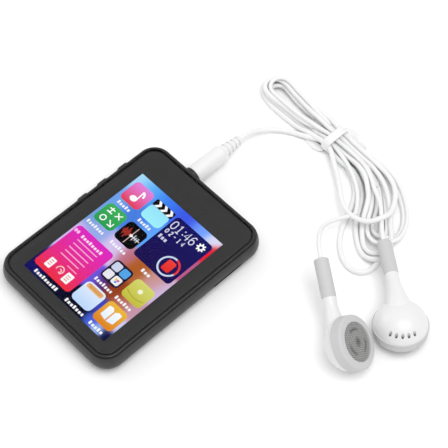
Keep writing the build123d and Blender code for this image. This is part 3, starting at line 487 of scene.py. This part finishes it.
def settle(lines, radii, held):
    # each round: the plan's pull, weight, smoothing, length, least bend, strands apart, obstacles, floor, tie
    points = np.vstack(lines)
    cordOf = np.concatenate([[k] * len(line) for k, line in enumerate(lines)])
    radius = np.concatenate([[r] * len(line) for r, line in zip(radii, lines)])
    free = (~np.concatenate(held)).astype(float)[:, None]
    home = points.copy()
    span = hank["span"]
    order = np.arange(len(points))
    link = order[:-1][cordOf[:-1] == cordOf[1:]]
    bend = order[:-span][cordOf[:-span] == cordOf[span:]]
    inner = order[1:-1][cordOf[:-2] == cordOf[2:]]
    rest = np.linalg.norm(home[link + 1] - home[link], axis=1)
    leastBend = hank["leastBend"] * radius[bend]
    leastChord = 2 * leastBend * np.sin(hank["spacing"] * span / (2 * leastBend))

    def spread(first, second, push):
        # a pair's push, added to one end and taken from the other
        moves = np.zeros_like(points)
        np.add.at(moves, first, push)
        np.add.at(moves, second, -push)
        return moves * free

    for count in range(hank["rounds"]):
        if count % hank["recheck"] == 0:
            near = ((points[:, None] - points[None]) ** 2).sum(2) < hank["reach"] ** 2
            i, j = np.nonzero(np.triu(near, 1))
            keep = (cordOf[i] != cordOf[j]) | (j - i > span)
            i, j = i[keep], j[keep]
        late = hank["latePull"] if count > hank["lateFrom"] * hank["rounds"] else 1.0
        points = points + free * (home - points) * np.array([1, 1, hank["heightPull"]]) * hank["pull"] * late
        points[:, 2] -= hank["sag"] * free[:, 0]
        smooth = np.zeros_like(points)
        smooth[inner] = 0.5 * (points[inner - 1] + points[inner + 1]) - points[inner]
        points = points + hank["smoothing"] * smooth * free
        for _ in range(hank["passes"]):
            gap = points[link + 1] - points[link]
            length = np.linalg.norm(gap, axis=1)
            push = (hank["stretch"] * (length - rest) / length)[:, None] * gap
            points = points + spread(link, link + 1, push)
            gap = points[bend + span] - points[bend]
            length = np.linalg.norm(gap, axis=1)
            push = (hank["unbend"] * np.maximum(leastChord - length, 0) / length)[:, None] * gap
            points = points - spread(bend, bend + span, push)
        gap = points[i] - points[j]
        length = np.linalg.norm(gap, axis=1) + 1e-9
        overlap = np.maximum(radius[i] + radius[j] + hank["gap"] - length, 0)
        points = points + spread(i, j, (hank["apart"] * overlap / length)[:, None] * gap)
        for start, end, thick in obstacles:
            start, axis = np.array(start), np.array(end) - np.array(start)
            share = ((points - start) * axis).sum(1) / (axis * axis).sum()
            gap = points - (start + share[:, None] * axis)
            length = np.linalg.norm(gap, axis=1) + 1e-9
            overlap = np.maximum(thick + radius + hank["obstacleGap"] - length, 0)
            push = np.where((share > 0) & (share < 1), overlap, 0)
            points = points + (push / length)[:, None] * gap * free
        points[:, 2] = np.maximum(points[:, 2], radius + hank["floorGap"])
        tied = (np.abs(points[:, 0] - hank["tieX"]) < hank["tieHalfWidth"]) & (free[:, 0] > 0)
        for axis, (low, high) in ((1, hank["tieY"]), (2, hank["tieZ"])):
            points[tied, axis] = np.clip(points[tied, axis], low + radius[tied], high - radius[tied])
    return [points[cordOf == k] for k in range(len(lines))]


def layCords():
    # the plan of every strand, then all three cords settled together; the open routes hold still
    column, row = hank["columns"], hank["rows"]
    slots = [(column[c], row[r]) for c, r in
             ((0, 1), (3, 0), (0, 2), (4, 2), (1, 0), (2, 0), (1, 1), (3, 1), (2, 1))]
    lobes = [((-21.6, 83.6, 74.2), 0.9), ((-21.0, 83.0, 74.6), 2.6), ((-19.6, 82.0, 75.4), 0.9),
             ((-20.6, 81.6, 74.8), 4.3)]
    line = [mainRoute[-1]]
    for k, loop in enumerate((nearLoop, topLoop, wideLoop, middleLoop)):
        line += throughTie(slots[2 * k], 1) + loop + throughTie(slots[2 * k + 1], -1)
        line += farLobe(*lobes[k], slots[2 * k + 1], slots[2 * k + 2])
    main = evenPoints(line + throughTie(slots[8], 1) + toSplitter)
    leads = []
    for start, first, second, size, lift, last, route in (
            (leftOut, (4, 1), (1, 2), (-18.4, 81.2, 75.6), 3.2, toLeftBud, leftRoute),
            (rightOut, (4, 0), (2, 2), (-18.9, 82.4, 75.0), 5.2, toRightBud, rightRoute)):
        first, second = (column[first[0]], row[first[1]]), (column[second[0]], row[second[1]])
        leads.append(evenPoints(start + throughTie(first, -1) + farLobe(size, lift, first, second)
                                + throughTie(second, 1) + last + [route[0]]))
    still = [evenPoints(mainRoute[:-1])[:-1], evenPoints(leftRoute[1:]), evenPoints(rightRoute[1:])]
    lines = [np.vstack([still[0], main]), np.vstack([leads[0], still[1]]), np.vstack([leads[1], still[2]])]
    held = [np.zeros(len(line), bool) for line in lines]
    held[0][:len(still[0]) + 1] = held[0][-2:] = True
    for k in (1, 2):
        held[k][:2] = held[k][-len(still[k]) - 1:] = True
    radii = [cords["cordDiameter"] / 2] + [cords["leadDiameter"] / 2] * 2
    settled = settle(lines, radii, held)
    turns = [settled[0][len(still[0]):], settled[1][:len(leads[0])], settled[2][:len(leads[1])]]
    every = cords["keepEvery"]
    turns = [np.vstack([t[:-1:every], t[-1:]]) for t in turns]
    return (np.vstack([mainRoute[:-1], turns[0]]), np.vstack([turns[1], leftRoute[1:]]),
            np.vstack([turns[2], rightRoute[1:]]))


def cordCurve(name, points, diameter, finish, *replaced):
    # one open spline with a round section; its order is set once the points are in
    curve = bpy.data.curves.new(name, "CURVE")
    curve.dimensions = "3D"
    spline = curve.splines.new("NURBS")
    spline.points.add(len(points) - 1)
    spline.points.foreach_set("co", np.hstack([points * mm, np.ones((len(points), 1))]).ravel())
    spline.order_u = 3
    spline.use_endpoint_u = True
    spline.resolution_u = cords["roundness"]
    curve.bevel_depth = diameter * mm / 2
    curve.bevel_resolution = cords["roundness"]
    curve.use_fill_caps = True
    curve.materials.append(finishes[finish])
    piece = put(name, curve)
    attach(piece, "earphones")
    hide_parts(*replaced)
    return piece


mainLine, leftLine, rightLine = layCords()
mainCord = cordCurve("earphone_cord", mainLine, cords["cordDiameter"], "cordWhite", "main_cord", "cord_hank")
leftLead = cordCurve("left_bud_lead", leftLine, cords["leadDiameter"], "leadWhite", "left_lead")
rightLead = cordCurve("right_bud_lead", rightLine, cords["leadDiameter"], "leadWhite", "right_lead")

# ---- twist tie: a flat ribbon wrapped round the bundle with two tails lying away from it ----
tie = {"width": 2.9, "thickness": 0.45, "loopY": (72.75, 82.05), "loopZ": (0.28, 5.98), "corner": 2.4,
       "section": [(-1, -0.6), (-0.8, -1), (0.8, -1), (1, -0.6), (1, 0.6), (0.8, 1), (-0.8, 1), (-1, 0.6)],
       "wander": 0.35, "wanderStart": 0.6, "tailWidth": 0.62, "tailSwell": 0.3, "tailReach": 1.2,
       "leftTail": [(11.4, 73.2, 0.9), (9.4, 72.5, 0.6), (6.2, 72.5, 0.5), (2.9, 73.0, 0.9)],
       "rightTail": [(12.8, 81.6, 4.9), (15.0, 83.2, 3.2), (17.6, 83.5, 1.3), (20.6, 82.9, 0.8)],
       "twists": (0.5, -0.7)}


def ribbon(centre, across, thickness, widths):
    # a flat strip along a path: half the width to each side, half the thickness up and down
    along = directions(centre)
    across = across - (across * along).sum(1)[:, None] * along
    across /= np.linalg.norm(across, axis=1)[:, None]
    up = np.cross(along, across)
    return np.stack([centre + across * (w * widths / 2)[:, None] + up * (h * thickness / 2)
                     for w, h in tie["section"]], 1)


def tieLoop():
    # a rounded rectangle in the plane across the bundle, closed on itself
    outline = roundedOutline(*tie["loopY"], *tie["loopZ"], tie["corner"])
    around = np.linspace(0, 2 * math.pi, len(outline), endpoint=False) + tie["wanderStart"]
    path = np.column_stack([hank["tieX"] + tie["wander"] * np.sin(around), outline])
    path = np.vstack([path, path[:1]])
    across = np.tile([1.0, 0.0, 0.0], (len(path), 1))
    rings = ribbon(path, across, tie["thickness"], np.full(len(path), tie["width"]))[:-1]
    return rings.reshape(-1, 3), gridFaces(len(rings), 8, True, True)


def tieTail(points, twist):
    # a ribbon along a soft curve that turns about its own line by the twist and narrows a little at its end
    path = evenPoints(points)
    share = np.linspace(0, 1, len(path))
    angle = twist * share
    along = directions(path)
    side = np.cross(along, [0, 0, 1.0])
    side /= np.linalg.norm(side, axis=1)[:, None]
    rise = np.cross(side, along)
    across = side * np.cos(angle)[:, None] + rise * np.sin(angle)[:, None]
    swell = np.sin(math.pi * np.clip(share * tie["tailReach"], 0, 1))
    widths = tie["width"] * (tie["tailWidth"] + tie["tailSwell"] * swell)
    rings = ribbon(path, across, tie["thickness"], widths)
    return rings.reshape(-1, 3), gridFaces(len(rings), 8, False, True)


def endCaps(rings, offset):
    # two polygons that close a strip's ends
    last = (rings - 1) * 8
    return [[offset + k for k in reversed(range(8))], [offset + last + k for k in range(8)]]


def buildTie():
    # the loop and its two tails, in one piece
    loopPoints, loopFaces = tieLoop()
    vertices, faces = [loopPoints], loopFaces.tolist()
    start = len(loopPoints)
    for points, twist in zip((tie["leftTail"], tie["rightTail"]), tie["twists"]):
        tailPoints, tailFaces = tieTail(points, twist)
        faces += (tailFaces + start).tolist() + endCaps(len(tailPoints) // 8, start)
        vertices.append(tailPoints)
        start += len(tailPoints)
    piece = makePiece("bundle_tie", np.vstack(vertices), faces, "tieWhite", "earphones",
                      weld=True)
    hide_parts("twist_tie")
    return piece


bundleTie = buildTie()
print("tie wrapped")

# ---- perforated grilles in the earbuds ----
grille = {"radius": 6.13, "bulge": 0.7, "pitch": 0.62, "holeRadius": 0.2, "holeEdge": 0.07, "depth": 0.22,
          "rim": 0.35, "turns": 360, "rings": 120, "crowding": 0.85, "patchRadius": 3.9, "patchTurn": 0.6}


def discFrame(side):
    # the dome's top, its axis and the way to the sleeve: the axis is the direction in which the driver's
    # points spread least, and the top is as far along it as the plain grille reaches
    def cloud(part):
        mesh = nodes[side + "_bud_" + part].data
        found = np.zeros(len(mesh.vertices) * 3)
        mesh.vertices.foreach_get("co", found)
        return np.unique(found.reshape(-1, 3).round(7), axis=0) / mm

    disc = cloud("driver")
    middle = (disc.min(0) + disc.max(0)) / 2
    axis = np.linalg.svd(disc - disc.mean(0))[2][2]
    outer = cloud("grille")
    if ((outer.mean(0) - middle) * axis).sum() < 0:
        axis = -axis
    sleeve = cloud("sleeve").mean(0) - middle
    up = sleeve - (sleeve * axis).sum() * axis
    up /= np.linalg.norm(up)
    top = ((outer - middle) * axis).sum(1).max()
    return middle + axis * top, axis, up


def buildGrille(side):
    # a shallow dome, its height one less the square of the radius, dimpled by a six-sided lattice of holes
    top, axis, up = discFrame(side)
    across = np.cross(up, axis)
    turns, rings = grille["turns"], grille["rings"]
    share = np.linspace(0, 1, rings) ** grille["crowding"]
    angle = np.linspace(0, 2 * math.pi, turns, endpoint=False)
    radius, angle = np.meshgrid(share * grille["radius"], angle, indexing="ij")
    x, y = radius * np.cos(angle), radius * np.sin(angle)
    # distance to the nearest hole of two interleaved square-edged lattices
    pitch = grille["pitch"]
    tall = pitch * math.sqrt(3)

    def lattice(offsetX, offsetY):
        dx = (x - offsetX + pitch / 2) % pitch - pitch / 2
        dy = (y - offsetY + tall / 2) % tall - tall / 2
        return np.hypot(dx, dy)

    near = np.minimum(lattice(0, 0), lattice(pitch / 2, tall / 2))
    inside = radius < grille["radius"] - grille["rim"]
    hole = np.clip((grille["holeRadius"] - near) / grille["holeEdge"] + 0.5, 0, 1) * inside
    # darker cloth at the middle, and in three places round a ring
    middle = np.clip(1.1 - np.hypot(x, y * 0.8) / 1.5, 0, 1)
    ring = np.clip(0.9 - np.abs(np.hypot(x, y) - grille["patchRadius"]) / 0.8, 0, 1)
    thirds = np.clip(0.5 + 0.8 * np.cos(3 * np.arctan2(y, x) + grille["patchTurn"]), 0, 1)
    patch = np.maximum(middle, ring * thirds)
    height = -grille["bulge"] * (radius / grille["radius"]) ** 2 - grille["depth"] * hole
    points = top + x[..., None] * across + y[..., None] * up + height[..., None] * axis
    piece = makePiece(side + "_perforated_grille", points.reshape(-1, 3),
                      gridFaces(rings, turns, False, True)[:, ::-1], "grilleMesh", "earphones",
                      attributes={"hole": hole.ravel(), "patch": patch.ravel()}, weld=True)
    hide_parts(side + "_bud_grille")


for side in ("left", "right"):
    buildGrille(side)
print("grilles punched")

# ---- printed border under the glass, open over the lit window ----
window = {"halfWidth": 18.35, "low": -27.5, "high": 21.4, "cornerRadius": 0.25}
border = {"glassGap": 0.12, "cornerRadius": 4.5, "top": 7.868}


def buildBorder():
    # a flat ring from the window's outline to the glass's own, drawn in by a gap
    low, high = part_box("touch_glass")
    gap = border["glassGap"]
    outer = roundedOutline(low[0] / mm + gap, high[0] / mm - gap, low[1] / mm + gap, high[1] / mm - gap,
                           border["cornerRadius"])
    inner = roundedOutline(-window["halfWidth"], window["halfWidth"], window["low"], window["high"],
                           window["cornerRadius"])
    flat = np.vstack([inner, outer])
    points = np.column_stack([flat, np.full(len(flat), border["top"])])
    # the ring carries the print's tone together with its painted reflection
    piece = makePiece("border_print_with_reflection", points, gridFaces(2, len(outer), False, True)[:, ::-1], "borderPrintWithReflection",
                      "player", False)
    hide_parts("glass_border")


buildBorder()
print("border printed")

# ---- picture on the display: flat patches in layers, coloured point by point ----
picture = {"layer": 0.012, "startZ": 7.758, "columns": 74, "rows": 98, "poolSpread": 0.55, "discSides": 24,
           "arcPoints": 40, "steps": 8, "smoothings": 6, "letterPitch": 1.08, "letterGap": 0.36,
           "letterTalls": (1.0, 0.74, 0.72, 0.98, 0.74, 0.7, 0.74, 0.96)}
canvas = {"points": [], "faces": [], "tints": [], "count": 0}


def lay(points, faces, tints, layer):
    # adds a flat patch to the canvas at its layer's height
    points, tints = np.asarray(points, float), np.asarray(tints, float)
    if tints.ndim == 1:
        tints = np.tile(tints, (len(points), 1))
    flat = np.column_stack([points, np.full(len(points), picture["startZ"] + layer * picture["layer"])])
    canvas["points"].append(flat)
    canvas["tints"].append(np.column_stack([tints, np.ones(len(points))]))
    canvas["faces"] += (np.asarray(faces) + canvas["count"]).tolist()
    canvas["count"] += len(points)


def patch(outline, low, high, layer):
    # from the outline's middle out to its rim, tinted from low to high by height
    outline = np.asarray(outline, float)
    following = np.roll(outline, -1, 0)
    if (outline[:, 0] * following[:, 1] - outline[:, 1] * following[:, 0]).sum() < 0:
        outline = outline[::-1]
    middle = outline.mean(0)
    points = np.vstack([middle, outline])
    n = len(outline)
    k = np.arange(n)
    faces = np.stack([np.zeros(n, int), k + 1, (k + 1) % n + 1], 1)
    y = points[:, 1]
    share = ((y - y.min()) / max(np.ptp(y), 1e-6))[:, None]
    lay(points, faces, toLight(low) * (1 - share) + toLight(high) * share, layer)


def tile(x0, x1, y0, y1, r, low, high=None, layer=1):
    # a rounded rectangle
    patch(roundedOutline(x0, x1, y0, y1, r), low, high or low, layer)


def disc(x, y, r, colour, squash=1.0, layer=3):
    # a circle, or an ellipse when squashed
    a = np.linspace(0, 2 * math.pi, picture["discSides"], endpoint=False)
    patch(np.stack([x + r * np.cos(a), y + r * squash * np.sin(a)], 1), colour, colour, layer)


def stroke(points, width, colour, soften=True):
    # a band of one width along a line of points; its left edge is listed first, so it faces up
    p = np.asarray(points, float)
    if soften and len(p) > 2:
        t = np.linspace(0, len(p) - 1, picture["steps"] * (len(p) - 1) + 1)
        k = np.arange(len(p))
        p = np.stack([np.interp(t, k, p[:, 0]), np.interp(t, k, p[:, 1])], 1)
        for _ in range(picture["smoothings"]):
            p[1:-1] = 0.25 * p[:-2] + 0.5 * p[1:-1] + 0.25 * p[2:]
    along = directions(p)
    side = np.stack([-along[:, 1], along[:, 0]], 1) * width / 2
    points = np.stack([p + side, p - side], 1).reshape(-1, 2)
    lay(points, gridFaces(len(p), 2), toLight(colour), 3)


def lines(width, colour, *ends):
    # straight strokes, each from one place to another
    for x0, y0, x1, y1 in ends:
        stroke([(x0, y0), (x1, y1)], width, colour, False)


def bars(left, step, middle, talls):
    # the ends of upright lines side by side, each as far above the middle as below it
    return [(left + step * k, middle - tall, left + step * k, middle + tall) for k, tall in enumerate(talls)]


def arc(x, y, r, start, end, width, colour):
    # a band of one width along part of a circle, from one angle to another in degrees
    a = np.radians(np.linspace(start, end, picture["arcPoints"]))
    stroke(onCircle(x, y, r, a), width, colour, False)


def caption(left, right, y, colour=(246, 246, 250), tall=1.3):
    # stands for a word: blocks side by side across the span, the first the tallest
    gap, talls = picture["letterGap"], picture["letterTalls"]
    count = max(2, round((right - left) / picture["letterPitch"]))
    pitch = (right - left + gap) / count
    for k in range(count):
        wide = pitch - (gap if k % 3 else 0.44)
        x = left + k * pitch
        tile(x, x + wide, y, y + tall * talls[k % len(talls)], 0.12, colour, None, 3)


digitLines = {  # each on a block one wide and two tall, as strokes
    "0": [[(0.5, 0), (0.05, 0.35), (0, 1), (0.05, 1.65), (0.5, 2), (0.95, 1.65), (1, 1), (0.95, 0.35),
           (0.5, 0)]],
    "1": [[(0.2, 1.6), (0.55, 2), (0.55, 0)], [(0.15, 0), (0.95, 0)]],
    "2": [[(0.05, 1.6), (0.3, 2), (0.8, 1.95), (0.95, 1.5), (0.6, 0.9), (0.02, 0), (1, 0)]],
    "4": [[(0.75, 0), (0.75, 2), (0, 0.6), (1.05, 0.6)]],
    "6": [[(0.9, 1.8), (0.5, 2), (0.1, 1.5), (0, 0.7), (0.15, 0.15), (0.5, 0), (0.9, 0.2), (1, 0.62),
           (0.85, 1.05), (0.5, 1.2), (0.1, 0.95)]],
    "-": [[(0, 1), (0.8, 1)]]}


def digits(text, x, y, size, step, width, colour):
    # one sign after another, each a step along; a colon takes half a step
    for letter in text:
        if letter == ":":
            for height in (0.55, 1.45):
                disc(x + 0.25 * size, y + height * size, width * 0.7, colour)
            x += step * 0.5
            continue
        for line in digitLines[letter]:
            stroke(np.array(line) * size + (x, y), width, colour, letter in "026")
        x += step


def wallpaper():
    # each point's colour is the mean of the pools' colours, weighed by how near each pool is
    pools = [(-18, 20, 6, (178, 226, 252)), (-11, 19.5, 6, (94, 178, 248)), (-5, 20, 6, (57, 123, 243)),
             (3, 20.5, 6, (60, 88, 232)), (10, 20.5, 4, (120, 165, 255)), (15, 19.8, 2.6, (225, 225, 250)),
             (18.2, 16, 3, (225, 30, 50)), (17.9, 8, 3, (185, 90, 140)), (-18, 10, 6, (110, 160, 235)),
             (-8, 9, 5, (70, 125, 225)), (0, 9, 5, (95, 165, 252)), (-18, 1, 5, (115, 160, 215)),
             (-12, -3, 4, (150, 170, 235)), (-4, -3.5, 4, (215, 195, 240)), (1, -3, 3, (190, 110, 130)),
             (7, -4, 4, (178, 92, 36)), (13, -4, 4, (205, 150, 150)), (18, -5, 4, (210, 185, 225)),
             (-18, -9, 5, (215, 188, 242)), (-18, -15, 3.5, (205, 190, 250)), (-0.6, -15, 3, (110, 84, 222)),
             (3, -14.5, 2.6, (90, 40, 120)), (8, -13, 3.5, (150, 62, 24)), (12, -15, 3, (190, 110, 96)),
             (18, -14, 4, (200, 150, 170)), (18, -21, 3, (205, 205, 246)), (8.4, -20, 2.4, (60, 70, 190)),
             (-18, -19, 2.4, (24, 14, 90)), (-16, -26, 5, (14, 12, 96)), (-7, -26.5, 5, (6, 6, 40)),
             (3, -26.5, 5, (6, 6, 34)), (10, -25.6, 2.4, (70, 100, 220)), (14, -26.8, 2.4, (150, 180, 240)),
             (18.3, -26.4, 3, (10, 10, 60))]
    x = np.linspace(-window["halfWidth"], window["halfWidth"], picture["columns"])
    y = np.linspace(window["low"], window["high"], picture["rows"])
    y, x = np.meshgrid(y, x, indexing="ij")
    total, tint = 0.0, 0.0
    for px, py, reach, colour in pools:
        weight = np.exp(-((x - px) ** 2 + (y - py) ** 2) / (2 * (reach * picture["poolSpread"]) ** 2)) + 1e-9
        total = total + weight
        tint = tint + weight[..., None] * np.array(colour, float)
    tint = tint / total[..., None]
    lay(np.stack([x.ravel(), y.ravel()], 1), gridFaces(*x.shape), toLight(tint).reshape(-1, 3), 0)


def drawTiles():
    snow, paper, pale, rose = (252, 252, 252), (228, 240, 255), (225, 225, 235), (255, 214, 210)
    # tune tile: a note
    tile(-17.3, -9.1, 10.4, 18.7, 1.6, (232, 56, 74), (226, 132, 224))
    disc(-13.4, 13.0, 1.35, snow, 0.8)
    lines(0.5, snow, (-12.3, 13.0, -12.6, 16.9))
    stroke([(-12.7, 16.9), (-11.6, 16.2), (-11.3, 15.0)], 0.7, snow)
    # film tile: clapper bar with slanted bands over a pale slate
    tile(-7.9, 0.4, 10.4, 16.2, 1.6, (160, 240, 254), (150, 228, 250))
    tile(-7.9, 0.4, 15.9, 18.5, 0.5, (12, 12, 16), None, 2)
    for k in range(3):
        left = -7.0 + 2.5 * k
        for flip in (1, -1):
            edge = 17.2 + 1.25 * flip
            patch([(left, edge), (left + 1.1, edge), (left + 2.1, 17.2), (left + 1.0, 17.2)], snow, snow, 3)
    # clock panel
    tile(1.2, 17.3, -0.7, 18.6, 1.4, (24, 12, 78), (20, 18, 98))
    digits("01:46", 2.1, 13.9, 1.62, 2.32, 0.34, (224, 224, 245))
    digits("02-14", 2.3, 11.7, 0.8, 1.76, 0.32, (222, 222, 244))
    caption(2.1, 5.4, 9.0, (205, 205, 235), 1.5)
    # its cog: the radius swells eight times on the way round
    a = np.linspace(0, 2 * math.pi, 64, endpoint=False)
    r = 1.35 + 0.28 * np.tanh(3 * np.sin(8 * a))
    patch(onCircle(14.5, 15.7, r, a), snow, snow, 3)
    disc(14.5, 15.7, 0.55, (22, 18, 90), layer=4)
    arc(12.5, 4.0, 3.4, -15, -275, 0.62, (200, 214, 240))
    arc(12.5, 4.0, 3.4, 85, -15, 0.7, (232, 52, 52))
    tile(10.9, 14.1, 1.9, 6.2, 0.7, (226, 44, 40), (240, 62, 54), 3)
    # word tile: four plain signs
    tile(-17.3, -9.0, -0.8, 7.2, 1.6, (40, 158, 84), (62, 176, 88))
    lines(0.42, snow, (-15.8, 5.6, -13.6, 5.6), (-14.7, 6.3, -14.7, 4.0), (-15.8, 4.2, -13.6, 4.2))
    arc(-14.7, 1.5, 0.95, 0, 360, 0.42, snow)
    lines(0.42, snow, (-12.4, 6.0, -10.4, 4.2), (-10.4, 6.0, -12.4, 4.2), (-12.4, 2.4, -10.4, 0.6))
    stroke([(-10.4, 2.2), (-10.4, 0.6), (-12.0, 0.6)], 0.42, snow, False)
    # sound tile: ripples and a level line
    tile(-7.8, 0.3, -0.8, 7.2, 1.6, (4, 4, 6))
    lines(0.28, (206, 60, 46), *bars(-7.0, 0.52, 3.2, (0.5, 1.5, 0.9, 2.2, 1.2, 0.6)))
    lines(0.22, (240, 200, 200), (-3.6, -0.2, -3.6, 6.6))
    disc(-3.6, 3.2, 0.55, snow)
    lines(0.3, pale, (-3.6, 3.2, 0.0, 3.2))
    lines(0.28, pale, *bars(-2.5, 0.8, 3.2, (1.2, 0.7, 0.9)))
    # reading panel: lines of writing as thin bars, with three small signs
    tile(-17.7, -1.6, -24.4, -5.3, 1.4, (238, 44, 58), (222, 40, 196))
    caption(-14.0, -4.9, -8.4, (255, 226, 246), 1.2)
    for k, (left, right) in enumerate(((-14.0, -5.0), (-14.0, -4.7), (-14.0, -5.2), (-13.9, -4.9),
                                       (-14.0, -5.8))):
        tile(left, right, -9.8 - 1.7 * k, -9.42 - 1.7 * k, 0.15, (250, 170, 214), None, 3)
    tile(-9.0, -4.8, -18.2, -17.9, 0.12, (250, 176, 200), None, 3)
    for flip in (-1, 1):
        disc(-16.4 + 0.55 * flip, -7.6, 0.5, (255, 190, 235), 1.3)
    tile(-14.6, -12.3, -22.8, -19.2, 0.3, snow, None, 3)
    tile(-6.9, -4.2, -22.8, -19.2, 0.3, snow, None, 3)
    for k in range(3):
        for left, right, top in ((-14.1, -12.8, -19.9), (-6.4, -4.8, -20.1)):
            tile(left, right, top - 0.3 - 0.8 * k, top - 0.8 * k, 0.1, (238, 110, 120), None, 4)
    arc(-9.4, -20.7, 1.3, -60, 200, 0.34, rose)
    arc(-9.3, -21.0, 0.6, -90, 120, 0.3, rose)
    # four-in-one tile
    tile(-0.2, 7.5, -13.1, -5.2, 1.4, (26, 22, 52))
    for x, y, colour in ((1.9, -7.4, (206, 212, 236)), (5.4, -7.4, (84, 164, 232)),
                         (1.9, -10.9, (236, 232, 240)), (5.4, -10.9, (238, 238, 240))):
        tile(x - 1.5, x + 1.5, y - 1.5, y + 1.5, 0.7, colour, None, 2)
    for x, y, colour in ((5.0, -10.6, (240, 200, 60)), (5.8, -10.6, (220, 90, 160)),
                         (5.4, -11.4, (90, 150, 230))):
        disc(x, y, 0.42, colour)
    # files tile
    tile(9.1, 17.3, -13.0, -5.2, 1.6, (196, 190, 62), (214, 216, 112))
    disc(13.3, -8.3, 0.85, (244, 244, 214))
    stroke([(9.7, -10.3), (11.6, -11.0), (13.2, -11.2), (14.8, -11.0), (16.7, -10.3)], 0.28, (168, 158, 44))
    # tuner tile: its scale is nine short lines
    tile(-0.5, 7.7, -24.5, -16.4, 1.6, (188, 216, 252), (232, 240, 255))
    tile(0.2, 6.8, -18.7, -17.0, 0.7, (240, 184, 116), (226, 160, 84), 2)
    lines(0.12, (120, 84, 50), *((1.3 + 0.55 * k, -17.5, 1.3 + 0.55 * k, -18.3) for k in range(9)))
    # book tile
    tile(9.1, 17.3, -24.5, -16.3, 1.6, (226, 128, 30), (238, 184, 62))
    patch([(12.95, -22.5), (10.5, -21.9), (10.5, -18.0), (11.9, -17.7), (12.95, -18.5)], paper, snow, 3)
    patch([(13.45, -22.5), (15.9, -21.9), (15.9, -18.0), (14.5, -17.7), (13.45, -18.5)], paper, snow, 3)
    # captions
    for left, right, y in ((-16.0, -10.7, 8.3), (-6.5, -1.2, 8.3), (-17.3, -10.0, -3.2), (-6.5, 0.0, -3.2),
                           (7.7, 11.2, -3.2), (0.0, 7.5, -15.3), (9.3, 16.0, -15.3), (-14.7, -4.7, -26.7),
                           (-0.5, 7.5, -26.7), (10.3, 16.0, -26.7)):
        caption(left, right, y)


wallpaper()
drawTiles()
screenPicture = makePiece("screen_picture", np.vstack(canvas["points"]), canvas["faces"], "litDisplay",
                          "player", False, {"tint": np.vstack(canvas["tints"])})
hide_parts("display_bond")
print("picture drawn,", canvas["count"], "points")


# ---- studio ----
def buildStudio():
    world = bpy.data.worlds.new("studio")
    world.use_nodes = True
    sky = next(n for n in world.node_tree.nodes if n.type == "BACKGROUND")
    sky.inputs["Color"].default_value = (*studio["worldColour"], 1.0)
    sky.inputs["Strength"].default_value = studio["worldStrength"]
    bpy.context.scene.world = world
    half = studio["floorSize"]
    mesh = bpy.data.meshes.new("floor")
    corners = [(-half, -half, 0), (half, -half, 0), (half, half, 0), (-half, half, 0)]
    mesh.from_pydata(corners, [], [(0, 1, 2, 3)])
    tone = studio["floorTone"]
    sweep = Finish("paperSweep", Roughness=0.9, Specular_IOR_Level=0.1)
    cloud = sweep.noise(studio["cloudScale"])
    sweep.feed("Base Color", sweep.blend(cloud, (tone * studio["cloudShade"],) * 3, (tone,) * 3))
    mesh.materials.append(sweep.material)
    floor = put("floor", mesh)
    floor.location.z = -studio["floorDrop"]
    middle = (cadBox[0] + cadBox[1]) / 2
    for name, (place, size, watts) in studio["lamps"].items():
        light = bpy.data.lights.new(name, "AREA")
        light.shape, light.size, light.energy = "DISK", size, watts
        lamp = put(name, light)
        place = Vector(place) + Vector((middle.x, middle.y, 0))
        aim(lamp, place, place - middle)


buildStudio()
bpy.context.scene.view_settings.view_transform = "Standard"
print("studio lit")
